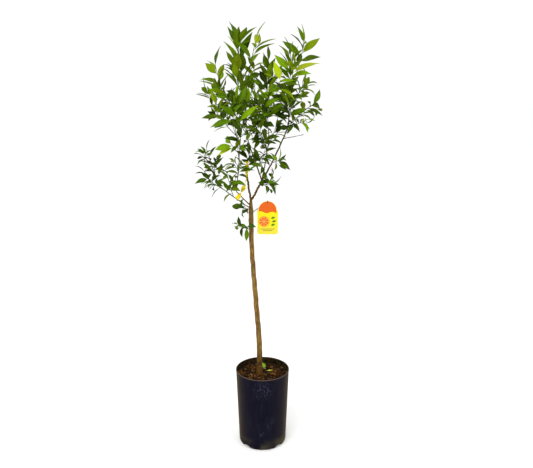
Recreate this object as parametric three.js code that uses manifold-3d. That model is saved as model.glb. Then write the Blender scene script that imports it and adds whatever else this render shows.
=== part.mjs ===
// A young mandarin tree on one clean stem, grown in a ten litre nursery pot.
// Millimetres, +Z up. The origin is the middle of the pot's flat underside.
import * as THREE from 'three';
import { mergeVertices } from 'three/addons/utils/BufferGeometryUtils.js';
import Module from 'manifold-3d';

const wasm = await Module();
wasm.setup();

// Driving dimensions of the pot and what fills it
const POT_HEIGHT = 325;
const POT_TOP_RADIUS = 110;
const POT_BASE_RADIUS = 98;
const POT_WALL = 2;
const LIP_HEIGHT = 7;
const LIP_WALL = 2.8;
const BASE_EDGE_RADIUS = 10;
const BASE_EDGE_STEPS = 4;
const FLOOR_THICK = 3;
const FOOT_RING_INNER = 70;
const FOOT_RING_HEIGHT = 19;
const NOTCH_HEIGHT = 13;
const NOTCH_ANGLE = 22;
const NOTCH_INNER = 74;
const NOTCH_COUNT = 4;
const POT_SIDES = 40;
const SOIL_TOP = 294.5;
const SOIL_LEVEL_RADIUS = 84;
const SOIL_RISE = 4;
const GAP = 0.3;
const SLIVER = 0.01;

// Driving dimensions of the trunk: foot, fork, sway from side to side and fore and aft,
// and girth as pairs of height and radius
const TRUNK_FOOT = [-12, 0, SOIL_TOP + GAP];
const TRUNK_FORK = [-44, 0, 1036];
const TRUNK_SWAY = [4.8, 4];
const TRUNK_STEPS = 40;
const TRUNK_SIDES = 12;
const TRUNK_GIRTH = [
  [294.8, 14], [302, 13.2], [318, 12.4], [345, 11.8], [390, 11.2], [440, 10.8], [500, 10.4], [550, 10.2],
  [600, 10.1], [650, 9.9], [700, 9.7], [750, 9.4], [800, 9.2], [850, 9], [905, 9.2], [940, 9.2],
  [957, 9.9], [975, 9.1], [1003, 9.2], [1013, 6.8], [1036, 5.4],
];
const FLARE_LOBES = 4;
const FLARE_DEPTH = 0.1;
const FLARE_HEIGHT = 30;

// Limbs: host, share of the host's length where it leaves, tip, radius at foot and tip, sag
const LIMB_STEPS = 8;
const LIMB_SIDES = 6;
const LIMBS = {
  right_bough: ['trunk', 1, [-1, -12, 1118], 4.4, 3.8, 0.06],
  central_bough: ['trunk', 1, [-62, 6, 1158], 4.1, 3.4, 0.04],
  right_upper_bough: ['right_bough', 1, [100, 5, 1325], 3.3, 2.3, 0.1],
  inner_left_bough: ['right_bough', 1, [-54, 25, 1265], 2.8, 2, 0.03],
  inner_right_bough: ['right_bough', 1, [26, -40, 1275], 2.4, 1.8, 0.08],
  left_inner_bough: ['trunk', 0.972, [-99, -18, 1076], 2.4, 1.9, 0.02],
  left_rising_bough: ['left_inner_bough', 1, [-83, -35, 1252], 1.8, 1.4, 0.12],
  left_low_bough: ['trunk', 0.958, [-168, 20, 1091], 2.2, 1.5, 0.03],
  side_twig: ['right_upper_bough', 0.8, [159, 30, 1289], 1.4, 1.1, 0.02],
  right_leader: ['right_upper_bough', 1, [104, -5, 1470], 2.1, 1.5, 0.04],
  left_leader: ['inner_left_bough', 1, [-70, 30, 1440], 1.9, 1.4, 0.04],
  middle_leader: ['inner_right_bough', 1, [18, -15, 1430], 1.7, 1.2, 0.04],
  left_arm: ['left_rising_bough', 1, [-128, -30, 1392], 1.3, 1, 0.06],
  front_bough: ['left_rising_bough', 0.75, [-92, -92, 1300], 1.4, 1.1, 0.12],
  back_bough: ['inner_left_bough', 0.6, [-20, 105, 1310], 1.9, 1.3, 0.15],
};

// Foliage: host, share of its length, tip of the stem, bare share, leaves, leaf length,
// side twigs, their length, lift and droop of the leaves in degrees, tone, turn in degrees,
// sag of the stem where it isn't the usual one (negative where it arches)
const STEM_SAG = 0.08;
const SPRAYS = {
  top_left: ['left_leader', 1, [-90, 22, 1636], 0.04, 12, 92, 0, 0, 27, 20, 'mid', 287, 0.06],
  top_left_low: ['left_leader', 0.7, [-104, 5, 1545], 0.35, 8, 84, 1, 60, 32, 22, 'mid', 150],
  top_middle: ['left_leader', 0.9, [-22, -8, 1640], 0.28, 9, 84, 0, 0, 42, 34, 'bright', 215, 0],
  middle: ['middle_leader', 1, [24, 20, 1562], 0.1, 9, 72, 0, 0, 28, 20, 'dark', 60],
  middle_front: ['middle_leader', 0.7, [68, -66, 1492], 0.68, 6, 78, 0, 0, 92, 30, 'bright', 32, 0.25],
  right_crown: ['right_leader', 1, [104, -15, 1590], 0.1, 12, 66, 0, 0, 32, 24, 'mid', 330],
  right_light: ['right_leader', 0.85, [116, -55, 1545], 0.55, 4, 104, 0, 0, 44, 26, 'bright', 20, 0],
  right_top: ['right_leader', 0.75, [156, 40, 1620], 0.6, 6, 84, 0, 0, 50, 22, 'mid', 85],
  right_outer: ['right_leader', 0.4, [160, 20, 1490], 0.4, 9, 58, 1, 45, 48, 45, 'mid', 10],
  right_hang: ['right_upper_bough', 0.97, [190, -15, 1405], 0.45, 8, 62, 0, 0, 52, 55, 'mid', 120, -0.1],
  right_star: ['right_upper_bough', 0.92, [168, -40, 1352], 0.6, 5, 42, 0, 0, 60, 30, 'bright', 50, -0.05],
  right_dense: ['right_upper_bough', 0.9, [108, -60, 1405], 0.15, 11, 74, 2, 60, 50, 40, 'dark', 70],
  right_back: ['right_leader', 0.2, [92, 125, 1465], 0.25, 11, 68, 2, 70, 50, 35, 'dark', 15],
  centre_front: ['middle_leader', 0.3, [6, -95, 1405], 0.25, 11, 73, 2, 60, 50, 40, 'dark', 112],
  left_front: ['left_leader', 0.3, [-96, -60, 1435], 0.2, 11, 76, 2, 60, 46, 35, 'mid', 90],
  left_upper: ['left_arm', 1, [-170, -30, 1544], 0.3, 9, 76, 0, 0, 44, 26, 'mid', 175],
  left_outer: ['left_arm', 0.6, [-212, 20, 1462], 0.35, 10, 54, 1, 45, 34, 26, 'mid', 60],
  left_mid: ['left_arm', 0.3, [-190, 40, 1395], 0.3, 10, 56, 1, 45, 48, 40, 'dark', 30],
  low_front: ['front_bough', 1, [-104, -116, 1364], 0.75, 2, 80, 0, 0, 80, 26, 'mid', 0],
  low_front_right: ['front_bough', 0.85, [-80, -125, 1352], 0.75, 2, 92, 0, 0, 96, 34, 'mid', 185],
  left_back: ['left_leader', 0.12, [-135, 120, 1420], 0.3, 11, 66, 2, 60, 50, 35, 'dark', 45],
  back_low: ['back_bough', 1, [-10, 165, 1400], 0.1, 11, 64, 2, 60, 52, 35, 'dark', 130],
  back_top: ['back_bough', 0.75, [-30, 105, 1530], 0.3, 11, 74, 1, 60, 44, 35, 'mid', 210],
  mid_low: ['inner_right_bough', 0.75, [-6, -20, 1310], 0.1, 9, 58, 2, 50, 52, 60, 'dark', 170],
  mid_right: ['inner_right_bough', 0.85, [52, -35, 1325], 0.15, 7, 50, 1, 45, 50, 45, 'dark', 20],
  bough_side: ['right_upper_bough', 0.38, [66, -30, 1200], 0.3, 7, 50, 0, 0, 52, 45, 'mid', 350],
  inner_low: ['inner_right_bough', 0.3, [-12, -60, 1215], 0.25, 10, 56, 1, 45, 50, 50, 'dark', 100],
  fork: ['right_bough', 0.85, [36, -30, 1105], 0.15, 9, 50, 1, 35, 56, 55, 'dark', 300],
  central: ['central_bough', 1, [-48, 24, 1222], 0.15, 11, 54, 1, 40, 50, 40, 'dark', 45],
  left_inner: ['left_rising_bough', 0.92, [-76, -70, 1318], 0.1, 10, 60, 2, 46, 52, 60, 'dark', 320],
  rising: ['left_rising_bough', 0.85, [-122, -40, 1270], 0.35, 5, 60, 0, 0, 60, 40, 'lime', 220],
  left_between: ['left_rising_bough', 0.35, [-84, -40, 1190], 0.2, 9, 55, 1, 44, 50, 50, 'mid', 256],
  low_left_out: ['left_low_bough', 1, [-213, 10, 1236], 0.2, 9, 50, 2, 46, 50, 40, 'dark', 140],
  low_left: ['left_low_bough', 0.86, [-214, -30, 1134], 0.15, 10, 52, 2, 46, 50, 50, 'dark', 15],
  low_inner: ['left_low_bough', 0.55, [-132, -45, 1148], 0.15, 10, 64, 1, 44, 55, 45, 'mid', 60],
  trunk_top: ['trunk', 0.955, [-84, -20, 1012], 0.1, 7, 40, 0, 0, 60, 50, 'dark', 200, 0],
  trunk_shoot: ['trunk', 0.875, [-66, -14, 932], 0.3, 5, 54, 0, 0, 70, 60, 'dark', 330],
};
const TONES = { dark: 0x2c4f1c, mid: 0x466e1c, bright: 0x6b9424, lime: 0x9cc040, olive: 0x66702a };

// Twigs and leaves: radii, shares of the leaf's length, and the room that the growing rule keeps
const STEM_TIP_RADIUS = 0.8;
const STEM_STEPS = 5;
const ARM_RADIUS = [1.1, 0.8];
const ARM_STEPS = 3;
const ARM_SAG = 0.1;
const ARM_LEAF_SPACING = 11;
const WIDTH_SHARE = [0.26, 0.38];
const PETIOLE_SHARE = 0.08;
const LEAF_ROOT_DEPTH = 0.15;
const LEAF_THICK_SHARE = 0.017;
const LEAF_FOLD_SHARE = 0.16;
const LONG_LEAF = 78;
const GOLDEN_ANGLE = 137.5;
const ROLL_RANGE = [20, 65];
const SKY_PULL = 0.35;
const ROOM_BETWEEN = 7;
const ROOM_WITHIN = 4.5;
const ROOM_AT_LIMB = 4;
const PROBE_STEP = 6;
const CARD_PROBE_STEP = 10;
const NEAR_ROOT = 0.1;
const FROM_TWIG = 0.3;
const TRIES = 6;
const REACH = 190;

// The hanging tag, its tie, the strip label and the leaves that lie on the soil
const TAG_LEFT = -19.4;
const TAG_RIGHT = 61.3;
const TAG_BOTTOM = 905.6;
const TAG_SHOULDER = 1002.5;
const TAG_TOP = 1038;
const TAG_FRONT = -15.4;
const TAG_THICK = 1.2;
const TAG_CORNER = 9;
const TAB_INSET = 5;
const HOLE_RADIUS = 2.6;
const HOLE_BELOW_TOP = 11;
const TIE_RADIUS = 0.9;
const TIE_HEIGHT = 988;
const STRIP_WIDTH = 11;
const STRIP_THICK = 0.8;
const STRIP_UP = [1, -5, 50];
const STRIP_DOWN = [-38, -32, -90];
const STRIP_STEPS = 6;
const COLLAR_AT = 0.86;
const COLLAR_HEIGHT = 9;
const COLLAR_SIDES = 10;
const FALLEN = {
  fallen_green_leaf: { root: [12, 58], tip: [-3, 100], width: 17, rise: 5, colour: 0x6f9a2c },
  fallen_yellow_leaf: { root: [14, 36], tip: [45, 30], width: 10, rise: 6, colour: 0xc6cc4a },
};

// Vectors as plain triples
const DEG = Math.PI / 180;
const UP = [0, 0, 1];
const add = (a, b) => [a[0] + b[0], a[1] + b[1], a[2] + b[2]];
const sub = (a, b) => [a[0] - b[0], a[1] - b[1], a[2] - b[2]];
const mul = (a, k) => [a[0] * k, a[1] * k, a[2] * k];
const dot = (a, b) => a[0] * b[0] + a[1] * b[1] + a[2] * b[2];
const cross = (a, b) => [
  a[1] * b[2] - a[2] * b[1],
  a[2] * b[0] - a[0] * b[2],
  a[0] * b[1] - a[1] * b[0],
];
const length = (a) => Math.sqrt(dot(a, a));
const unit = (a) => [a[0] / length(a), a[1] / length(a), a[2] / length(a)];
const between = (a, b, share) => add(a, mul(sub(b, a), share));

// v turned about a unit axis
function turned(v, axis, angle) {
  const c = Math.cos(angle);
  const s = Math.sin(angle);
  return add(add(mul(v, c), mul(cross(axis, v), s)), mul(axis, dot(axis, v) * (1 - c)));
}

// Two directions square to a heading and to each other
function squareTo(heading) {
  const helper = Math.abs(heading[1]) < 0.9 ? [0, 1, 0] : [1, 0, 0];
  const a = unit(cross(heading, helper));
  return [a, cross(heading, a)];
}

// A stream of repeatable numbers between low and high
function seeded(seed) {
  let state = Math.imul(seed, 2654435761) >>> 0;
  const draw = (low, high) => {
    state = (Math.imul(state, 1664525) + 1013904223) >>> 0;
    return low + ((high - low) * state) / 4294967296;
  };
  for (let i = 0; i < 3; i += 1) draw(0, 1);
  return draw;
}

// Centre lines: a line is a list of points, evenly spaced along its curve
function along(line, share) {
  const k = share * (line.length - 1);
  const i = Math.min(Math.floor(k), line.length - 2);
  const step = sub(line[i + 1], line[i]);
  return [add(line[i], mul(step, k - i)), unit(step)];
}

// A curve from start to tip whose belly sags, so that it leaves low and turns up
function bowed(start, tip, sag, steps) {
  const span = length(sub(tip, start));
  const belly = add(mul(add(start, tip), 0.5), [0, 0, -sag * span]);
  const line = [];
  for (let i = 0; i <= steps; i += 1) {
    const t = i / steps;
    line.push(add(add(mul(start, (1 - t) * (1 - t)), mul(belly, 2 * t * (1 - t))), mul(tip, t * t)));
  }
  return line;
}

function trunkPoint(share) {
  const p = between(TRUNK_FOOT, TRUNK_FORK, share);
  const sideways = TRUNK_SWAY[0] * Math.sin(2 * Math.PI * share);
  const foreAndAft = TRUNK_SWAY[1] * Math.sin(3 * Math.PI * share);
  return [p[0] + sideways, p[1] + foreAndAft, p[2]];
}

function trunkRadius(height) {
  let i = 0;
  while (i < TRUNK_GIRTH.length - 2 && height > TRUNK_GIRTH[i + 1][0]) i += 1;
  const [low, high] = [TRUNK_GIRTH[i], TRUNK_GIRTH[i + 1]];
  const share = Math.min((height - low[0]) / (high[0] - low[0]), 1);
  return low[1] + (high[1] - low[1]) * share;
}

function limbRadius(name, line, share) {
  if (name === 'trunk') return trunkRadius(along(line, share)[0][2]);
  const [, , , foot, tip] = LIMBS[name];
  return foot + (tip - foot) * share;
}

function limbLines() {
  const trunk = [];
  for (let i = 0; i <= TRUNK_STEPS; i += 1) trunk.push(trunkPoint(i / TRUNK_STEPS));
  const lines = { trunk };
  for (const [name, [host, at, tip, , , sag]] of Object.entries(LIMBS)) {
    lines[name] = bowed(along(lines[host], at)[0], tip, sag, LIMB_STEPS);
  }
  return lines;
}

// Solids from rings of points: every ring has as many points as the first, or is one point
function loft(rings, isLoop = false) {
  const points = rings.flat();
  const faces = [];
  let first = 0;
  rings.forEach((ring, k) => {
    const next = rings[(k + 1) % rings.length];
    if (k === rings.length - 1 && !isLoop) return;
    const start = k === rings.length - 1 ? 0 : first + ring.length;
    for (let i = 0; i < Math.max(ring.length, next.length); i += 1) {
      const j = (i + 1) % Math.max(ring.length, next.length);
      if (ring.length > 1) faces.push(first + i, first + j, next.length > 1 ? start + i : start);
      if (next.length > 1) faces.push(ring.length > 1 ? first + j : first, start + j, start + i);
    }
    first += ring.length;
  });
  if (!isLoop) {
    const last = points.length - rings.at(-1).length;
    for (let i = 1; i < rings[0].length - 1; i += 1) faces.push(0, i + 1, i);
    for (let i = 1; i < rings.at(-1).length - 1; i += 1) faces.push(last, last + i, last + i + 1);
  }
  return solidFrom(points.flat(), outward(points, faces));
}

// The same faces, turned round if they enclose a negative volume
function outward(points, faces) {
  let volume = 0;
  for (let i = 0; i < faces.length; i += 3) {
    const [a, b, c] = [points[faces[i]], points[faces[i + 1]], points[faces[i + 2]]];
    volume += dot(a, cross(b, c));
  }
  return volume > 0 ? faces : faces.toReversed();
}

function solidFrom(coordinates, faces) {
  const mesh = new wasm.Mesh({
    numProp: 3,
    vertProperties: new Float32Array(coordinates),
    triVerts: new Uint32Array(faces),
  });
  return new wasm.Manifold(mesh);
}

function solidOf(geometry) {
  geometry.deleteAttribute('normal');
  geometry.deleteAttribute('uv');
  const merged = mergeVertices(geometry, 1e-4);
  return solidFrom(merged.attributes.position.array, merged.index.array);
}

// The largest body of a solid, without the scraps and slivers that a cut leaves
function mainBody(solid) {
  const bodies = solid.simplify(SLIVER).decompose();
  return bodies.reduce((most, body) => (body.volume() > most.volume() ? body : most));
}

function meshOf(name, solid, colour, roughness) {
  const { numVert, numProp, vertProperties, triVerts } = solid.getMesh();
  const position = new Float32Array(numVert * 3);
  for (let i = 0; i < numVert; i += 1) {
    position.set(vertProperties.subarray(i * numProp, i * numProp + 3), i * 3);
  }
  const geometry = new THREE.BufferGeometry();
  geometry.setAttribute('position', new THREE.BufferAttribute(position, 3));
  geometry.setIndex(new THREE.BufferAttribute(triVerts, 1));
  geometry.computeVertexNormals();
  const material = new THREE.MeshStandardMaterial({ color: colour, roughness, metalness: 0 });
  const mesh = new THREE.Mesh(geometry, material);
  mesh.name = name;
  return mesh;
}

// A round tube on a line, its radius running from foot to tip. Extra makes it fatter and longer.
function tube(line, radii, sides, extra = 0) {
  const [foot, tip] = radii;
  const last = line.length - 1;
  const whole = unit(sub(line[last], line[0]));
  const helper = Math.abs(whole[1]) < 0.8 ? [0, 1, 0] : [1, 0, 0];
  const rings = line.map((p, k) => {
    const heading = unit(sub(line[Math.min(k + 1, last)], line[Math.max(k - 1, 0)]));
    const a = unit(cross(heading, helper));
    const b = cross(heading, a);
    const radius = foot + ((tip - foot) * k) / last + extra;
    const shift = k === 0 ? -extra : k === last ? extra : 0;
    const centre = add(p, mul(heading, shift));
    return circleOf(centre, a, b, radius, sides);
  });
  return loft(rings);
}

function circleOf(centre, a, b, radius, sides) {
  const ring = [];
  for (let i = 0; i < sides; i += 1) {
    const angle = (2 * Math.PI * i) / sides;
    ring.push(add(centre, add(mul(a, radius * Math.cos(angle)), mul(b, radius * Math.sin(angle)))));
  }
  return ring;
}

// Pot: a tapering wall with a thicker lip, a foot ring with four drainage notches, a flat underside
function outerRadius(height) {
  return POT_BASE_RADIUS + ((POT_TOP_RADIUS - POT_BASE_RADIUS) * height) / POT_HEIGHT;
}

function pot() {
  const profile = [[0, 0]];
  const edgeTop = outerRadius(BASE_EDGE_RADIUS);
  for (let i = 0; i <= BASE_EDGE_STEPS; i += 1) {
    const angle = (0.5 * Math.PI * i) / BASE_EDGE_STEPS;
    const inward = BASE_EDGE_RADIUS * (1 - Math.sin(angle));
    profile.push([edgeTop - inward, BASE_EDGE_RADIUS * (1 - Math.cos(angle))]);
  }
  const lipFoot = POT_HEIGHT - LIP_HEIGHT;
  profile.push(
    [POT_TOP_RADIUS, POT_HEIGHT],
    [POT_TOP_RADIUS - LIP_WALL, POT_HEIGHT],
    [outerRadius(lipFoot) - LIP_WALL, lipFoot],
    [outerRadius(lipFoot) - POT_WALL, lipFoot - 1],
    [outerRadius(FOOT_RING_HEIGHT) - POT_WALL, FOOT_RING_HEIGHT],
    [FOOT_RING_INNER, FOOT_RING_HEIGHT],
    [FOOT_RING_INNER, FLOOR_THICK],
    [0, FLOOR_THICK],
  );
  const wall = solidOf(latheOf(profile));
  const notches = [];
  for (let i = 0; i < NOTCH_COUNT; i += 1) notches.push(notch(((i + 0.5) * 360) / NOTCH_COUNT));
  return wall.subtract(wasm.Manifold.union(notches));
}

// A profile of [radius, height] pairs turned about the Z axis
function latheOf(profile) {
  const points = profile.map(([radius, height]) => new THREE.Vector2(radius, height));
  return new THREE.LatheGeometry(points, POT_SIDES).rotateX(Math.PI / 2);
}

function notch(middleAngle) {
  const from = (middleAngle - NOTCH_ANGLE / 2) * DEG;
  const to = (middleAngle + NOTCH_ANGLE / 2) * DEG;
  const sector = new THREE.Shape();
  sector.absarc(0, 0, POT_TOP_RADIUS, from, to, false);
  sector.absarc(0, 0, NOTCH_INNER, to, from, true);
  const settings = { depth: 2 * NOTCH_HEIGHT, bevelEnabled: false, curveSegments: 4 };
  return solidOf(new THREE.ExtrudeGeometry(sector, settings).translate(0, 0, -NOTCH_HEIGHT));
}

// Soil: fills the pot to below its lip, level round the trunk and heaped a little towards the wall
function soil() {
  const wallRadius = (height) => outerRadius(height) - POT_WALL - GAP;
  const shoulder = FOOT_RING_HEIGHT + GAP;
  const edgeTop = SOIL_TOP + SOIL_RISE;
  return solidOf(latheOf([
    [0, FLOOR_THICK + GAP],
    [FOOT_RING_INNER - GAP, FLOOR_THICK + GAP],
    [FOOT_RING_INNER - GAP, shoulder],
    [wallRadius(shoulder), shoulder],
    [wallRadius(edgeTop), edgeTop],
    [wallRadius(edgeTop) - 10, SOIL_TOP + 0.3 * SOIL_RISE],
    [SOIL_LEVEL_RADIUS, SOIL_TOP],
    [0, SOIL_TOP],
  ]));
}

// Trunk: level rings from the flat cut at the soil to the fork, lobed where the roots begin
function trunk(extra = 0) {
  const rings = TRUNK_GIRTH.map(([height, radius], k) => {
    const share = (height - TRUNK_FOOT[2]) / (TRUNK_FORK[2] - TRUNK_FOOT[2]);
    const flare = Math.max(0, 1 - (height - TRUNK_FOOT[2]) / FLARE_HEIGHT);
    const lift = k === TRUNK_GIRTH.length - 1 ? extra : 0;
    const centre = add(trunkPoint(share), [0, 0, lift]);
    return circleOf([0, 0, 0], [1, 0, 0], [0, 1, 0], 1, TRUNK_SIDES).map((out, i) => {
      const lobes = 1 + FLARE_DEPTH * flare * Math.cos((2 * Math.PI * FLARE_LOBES * i) / TRUNK_SIDES);
      return add(centre, mul(out, radius * lobes + extra));
    });
  });
  return loft(rings);
}

// Boughs: each one tapering tube, its foot cut clear of its host and of the limbs made before it
function limbSolids(lines) {
  const solids = { trunk: trunk() };
  let taken = trunk(GAP);
  for (const [name, [, , , foot, tip]] of Object.entries(LIMBS)) {
    const radii = [foot, tip];
    solids[name] = mainBody(tube(lines[name], radii, LIMB_SIDES).subtract(taken));
    taken = taken.add(tube(lines[name], radii, LIMB_SIDES, GAP));
  }
  return { solids, taken };
}

// One leaf: where it leaves its twig, its direction, its upper side and its measures
function leafAt(root, heading, turn, lift, leafLength, width, droop, roll) {
  const [a, b] = squareTo(heading);
  const out = add(mul(a, Math.cos(turn)), mul(b, Math.sin(turn)));
  const d = unit(add(mul(heading, Math.cos(lift)), mul(out, Math.sin(lift))));
  let up = sub(mul(heading, Math.sin(lift)), mul(out, Math.cos(lift)));
  up = add(up, mul(UP, SKY_PULL));
  up = turned(unit(sub(up, mul(d, dot(up, d)))), d, roll);
  return { root, d, up, side: cross(d, up), length: leafLength, width, droop };
}

// The midrib bends down evenly, through the angle of droop
function ribPoint(leaf, share) {
  const angle = leaf.droop * share;
  const bend = add(mul(leaf.d, Math.sin(angle)), mul(leaf.up, Math.cos(angle) - 1));
  return add(leaf.root, mul(bend, leaf.length / leaf.droop));
}

// Width of the blade at a share of the leaf's length, as a share of its greatest width
function bladeShare(share) {
  const s = Math.max(0, (share - PETIOLE_SHARE) / (1 - PETIOLE_SHARE));
  return Math.sin(Math.PI * s ** 0.82) ** 1.2;
}

// Points on the rib and on both edges of a blade, from a share of its length to its tip
function probesOf(leaf, from) {
  const count = Math.ceil(leaf.length / PROBE_STEP);
  const probes = [];
  for (let i = 0; i <= count; i += 1) {
    const share = from + ((1 - from) * i) / count;
    const middle = ribPoint(leaf, share);
    const half = 0.5 * leaf.width * bladeShare(share);
    probes.push(middle, add(middle, mul(leaf.side, half)), add(middle, mul(leaf.side, -half)));
  }
  return probes;
}

// Obstacles are points, each with the room to keep from it and the spray that it belongs to
function isCrowded(probes, obstacles, self = null) {
  return obstacles.some(({ point, room, owner }) => owner !== self && probes.some((p) => {
    const d = sub(p, point);
    return dot(d, d) < room * room;
  }));
}

function pointsOn(line, from = 0) {
  const count = Math.ceil(length(sub(line.at(-1), line[0])) / PROBE_STEP);
  const points = [];
  for (let i = 0; i <= count; i += 1) points.push(along(line, from + ((1 - from) * i) / count)[0]);
  return points;
}

function limbObstacles(lines) {
  return Object.entries(lines).flatMap(([name, line]) => {
    const points = pointsOn(line);
    return points.map((point, i) => {
      const radius = limbRadius(name, line, i / (points.length - 1));
      return { point, room: radius + ROOM_AT_LIMB, owner: name };
    });
  });
}

// The growing rule. First every spray gets its stem and side twigs, then every twig its leaves.
// What would come too near a limb, another spray or a fixed thing is skipped.
function grow(lines, fixed) {
  const obstacles = [...fixed, ...limbObstacles(lines)];
  const sprays = Object.entries(SPRAYS).map(([key, row], index) => {
    const name = `foliage_${key}`;
    const spray = twigsOf(name, row, seeded(index + 11), lines, obstacles);
    const points = spray.twigs.flatMap((twig) => pointsOn(twig.line));
    obstacles.push(...points.map((point) => ({ point, room: ROOM_BETWEEN, owner: name })));
    spray.own = points.map((point) => ({ point, room: ROOM_WITHIN }));
    return spray;
  });
  for (const spray of sprays) {
    growLeaves(spray, obstacles);
    const points = spray.leaves.flatMap((leaf) => probesOf(leaf, NEAR_ROOT));
    obstacles.push(...points.map((point) => ({ point, room: ROOM_BETWEEN, owner: spray.name })));
  }
  return sprays;
}

function twigsOf(name, row, draw, lines, obstacles) {
  const [host, at, tip, bare, count, leafLength, arms, armLength] = row;
  const [lift, droop, tone, turn, sag = STEM_SAG] = row.slice(8);
  const start = along(lines[host], at)[0];
  const stem = bowed(start, tip, sag, STEM_STEPS);
  const stemRadius = 1 + length(sub(tip, start)) / 400;
  const twigs = [{ line: stem, radii: [stemRadius, STEM_TIP_RADIUS], count, bare, leafLength }];
  for (let j = 0; j < arms; j += 1) {
    const [p, heading] = along(stem, bare + ((0.85 - bare) * (j + 0.5)) / arms);
    const [a, b] = squareTo(heading);
    const angle = turn * DEG + 1.9 + j * 2.4;
    const out = add(mul(a, Math.cos(angle)), mul(b, Math.sin(angle)));
    const reach = armLength * draw(0.85, 1.15);
    const ahead = mul(unit(add(mul(heading, 0.75), mul(out, 0.66))), reach);
    const line = bowed(p, add(add(p, ahead), [0, 0, 0.12 * reach]), ARM_SAG, ARM_STEPS);
    if (isCrowded(pointsOn(line), obstacles, name)) continue;
    twigs.push({
      line,
      radii: ARM_RADIUS,
      count: Math.max(3, Math.round(reach / ARM_LEAF_SPACING)),
      bare: 0.25,
      leafLength: leafLength * 0.82,
    });
  }
  return { name, tone, twigs, draw, lift, droop, turn, leaves: [] };
}

function growLeaves(spray, obstacles) {
  const { twigs, draw, lift, droop, turn, own, leaves, name } = spray;
  const middle = along(twigs[0].line, 0.5)[0];
  twigs.forEach((twig, i) => {
    for (let m = 0; m < twig.count; m += 1) {
      const isLast = m === twig.count - 1;
      const share = (m + 0.6) / twig.count;
      const [p, heading] = along(twig.line, isLast ? 0.985 : twig.bare + (1 - twig.bare) * share);
      const swell = 0.72 + 0.42 * Math.sin(Math.PI * (0.15 + 0.7 * share));
      const full = twig.leafLength * swell * draw(0.85, 1.12);
      const slim = draw(WIDTH_SHARE[0], WIDTH_SHARE[1]);
      const rise = lift * (1.2 - 0.45 * share) * DEG * (isLast ? 0.45 : 1);
      const bend = droop * DEG * draw(0.7, 1.4);
      const lean = draw(-1, 1);
      const tilt = ROLL_RANGE[0] + (ROLL_RANGE[1] - ROLL_RANGE[0]) * Math.abs(lean);
      const roll = Math.sign(lean) * tilt * DEG;
      for (let attempt = 0; attempt < TRIES; attempt += 1) {
        const round = turn * DEG + (m + attempt * 1.7) * GOLDEN_ANGLE * DEG + i * 1.1 + draw(-0.2, 0.2);
        const size = full * (1 - 0.06 * attempt);
        const leaf = leafAt(p, heading, round, rise, size, size * slim, bend, roll);
        if (length(sub(ribPoint(leaf, 1), middle)) > REACH) continue;
        if (isCrowded(probesOf(leaf, NEAR_ROOT), obstacles, name)) continue;
        if (isCrowded(probesOf(leaf, FROM_TWIG), own)) continue;
        leaves.push(leaf);
        own.push(...probesOf(leaf, FROM_TWIG).map((point) => ({ point, room: ROOM_WITHIN })));
        break;
      }
    }
  });
}

// A leaf as a thin keeled blade: its root lies in the twig, its tip is a point
function leafSolid(leaf) {
  const stations = leaf.length > LONG_LEAF ? [0.33, 0.68] : [0.48];
  const root = sub(leaf.root, mul(leaf.d, LEAF_ROOT_DEPTH));
  const rings = stations.map((share) => {
    const middle = ribPoint(leaf, share);
    const half = 0.5 * leaf.width * bladeShare(share);
    const edge = add(middle, mul(leaf.up, half * LEAF_FOLD_SHARE));
    return [
      add(edge, mul(leaf.side, half)),
      add(edge, mul(leaf.side, -half)),
      add(middle, mul(leaf.up, -LEAF_THICK_SHARE * leaf.length)),
    ];
  });
  return loft([[root], ...rings, [ribPoint(leaf, 1)]]);
}

function spraySolid(spray, limbSpace) {
  const parts = spray.twigs.map((twig) => tube(twig.line, twig.radii, 3));
  parts.push(...spray.leaves.map(leafSolid));
  return mainBody(wasm.Manifold.union(parts).subtract(limbSpace));
}

// Tag: a rounded card with an arched tab, punched near the top of the arch
function tag() {
  const card = new THREE.Shape();
  const bodyWidth = TAG_RIGHT - TAG_LEFT;
  const c = TAG_CORNER;
  const tabHalf = bodyWidth / 2 - TAB_INSET;
  const middle = (TAG_LEFT + TAG_RIGHT) / 2;
  card.moveTo(TAG_LEFT + c, TAG_BOTTOM);
  card.lineTo(TAG_RIGHT - c, TAG_BOTTOM);
  card.absarc(TAG_RIGHT - c, TAG_BOTTOM + c, c, -Math.PI / 2, 0, false);
  card.lineTo(TAG_RIGHT, TAG_SHOULDER - TAB_INSET);
  card.absarc(TAG_RIGHT - TAB_INSET, TAG_SHOULDER - TAB_INSET, TAB_INSET, 0, Math.PI / 2, false);
  card.absellipse(middle, TAG_SHOULDER, tabHalf, TAG_TOP - TAG_SHOULDER, 0, Math.PI, false, 0);
  card.absarc(TAG_LEFT + TAB_INSET, TAG_SHOULDER - TAB_INSET, TAB_INSET, Math.PI / 2, Math.PI, false);
  card.absarc(TAG_LEFT + c, TAG_BOTTOM + c, c, Math.PI, 1.5 * Math.PI, false);
  const hole = new THREE.Path();
  hole.absarc(middle, TAG_TOP - HOLE_BELOW_TOP, HOLE_RADIUS, 0, 2 * Math.PI, true);
  card.holes.push(hole);
  const settings = { depth: TAG_THICK, bevelEnabled: false, curveSegments: 6 };
  const geometry = new THREE.ExtrudeGeometry(card, settings).rotateX(Math.PI / 2);
  return solidOf(geometry.translate(0, TAG_FRONT + TAG_THICK, 0));
}

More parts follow.
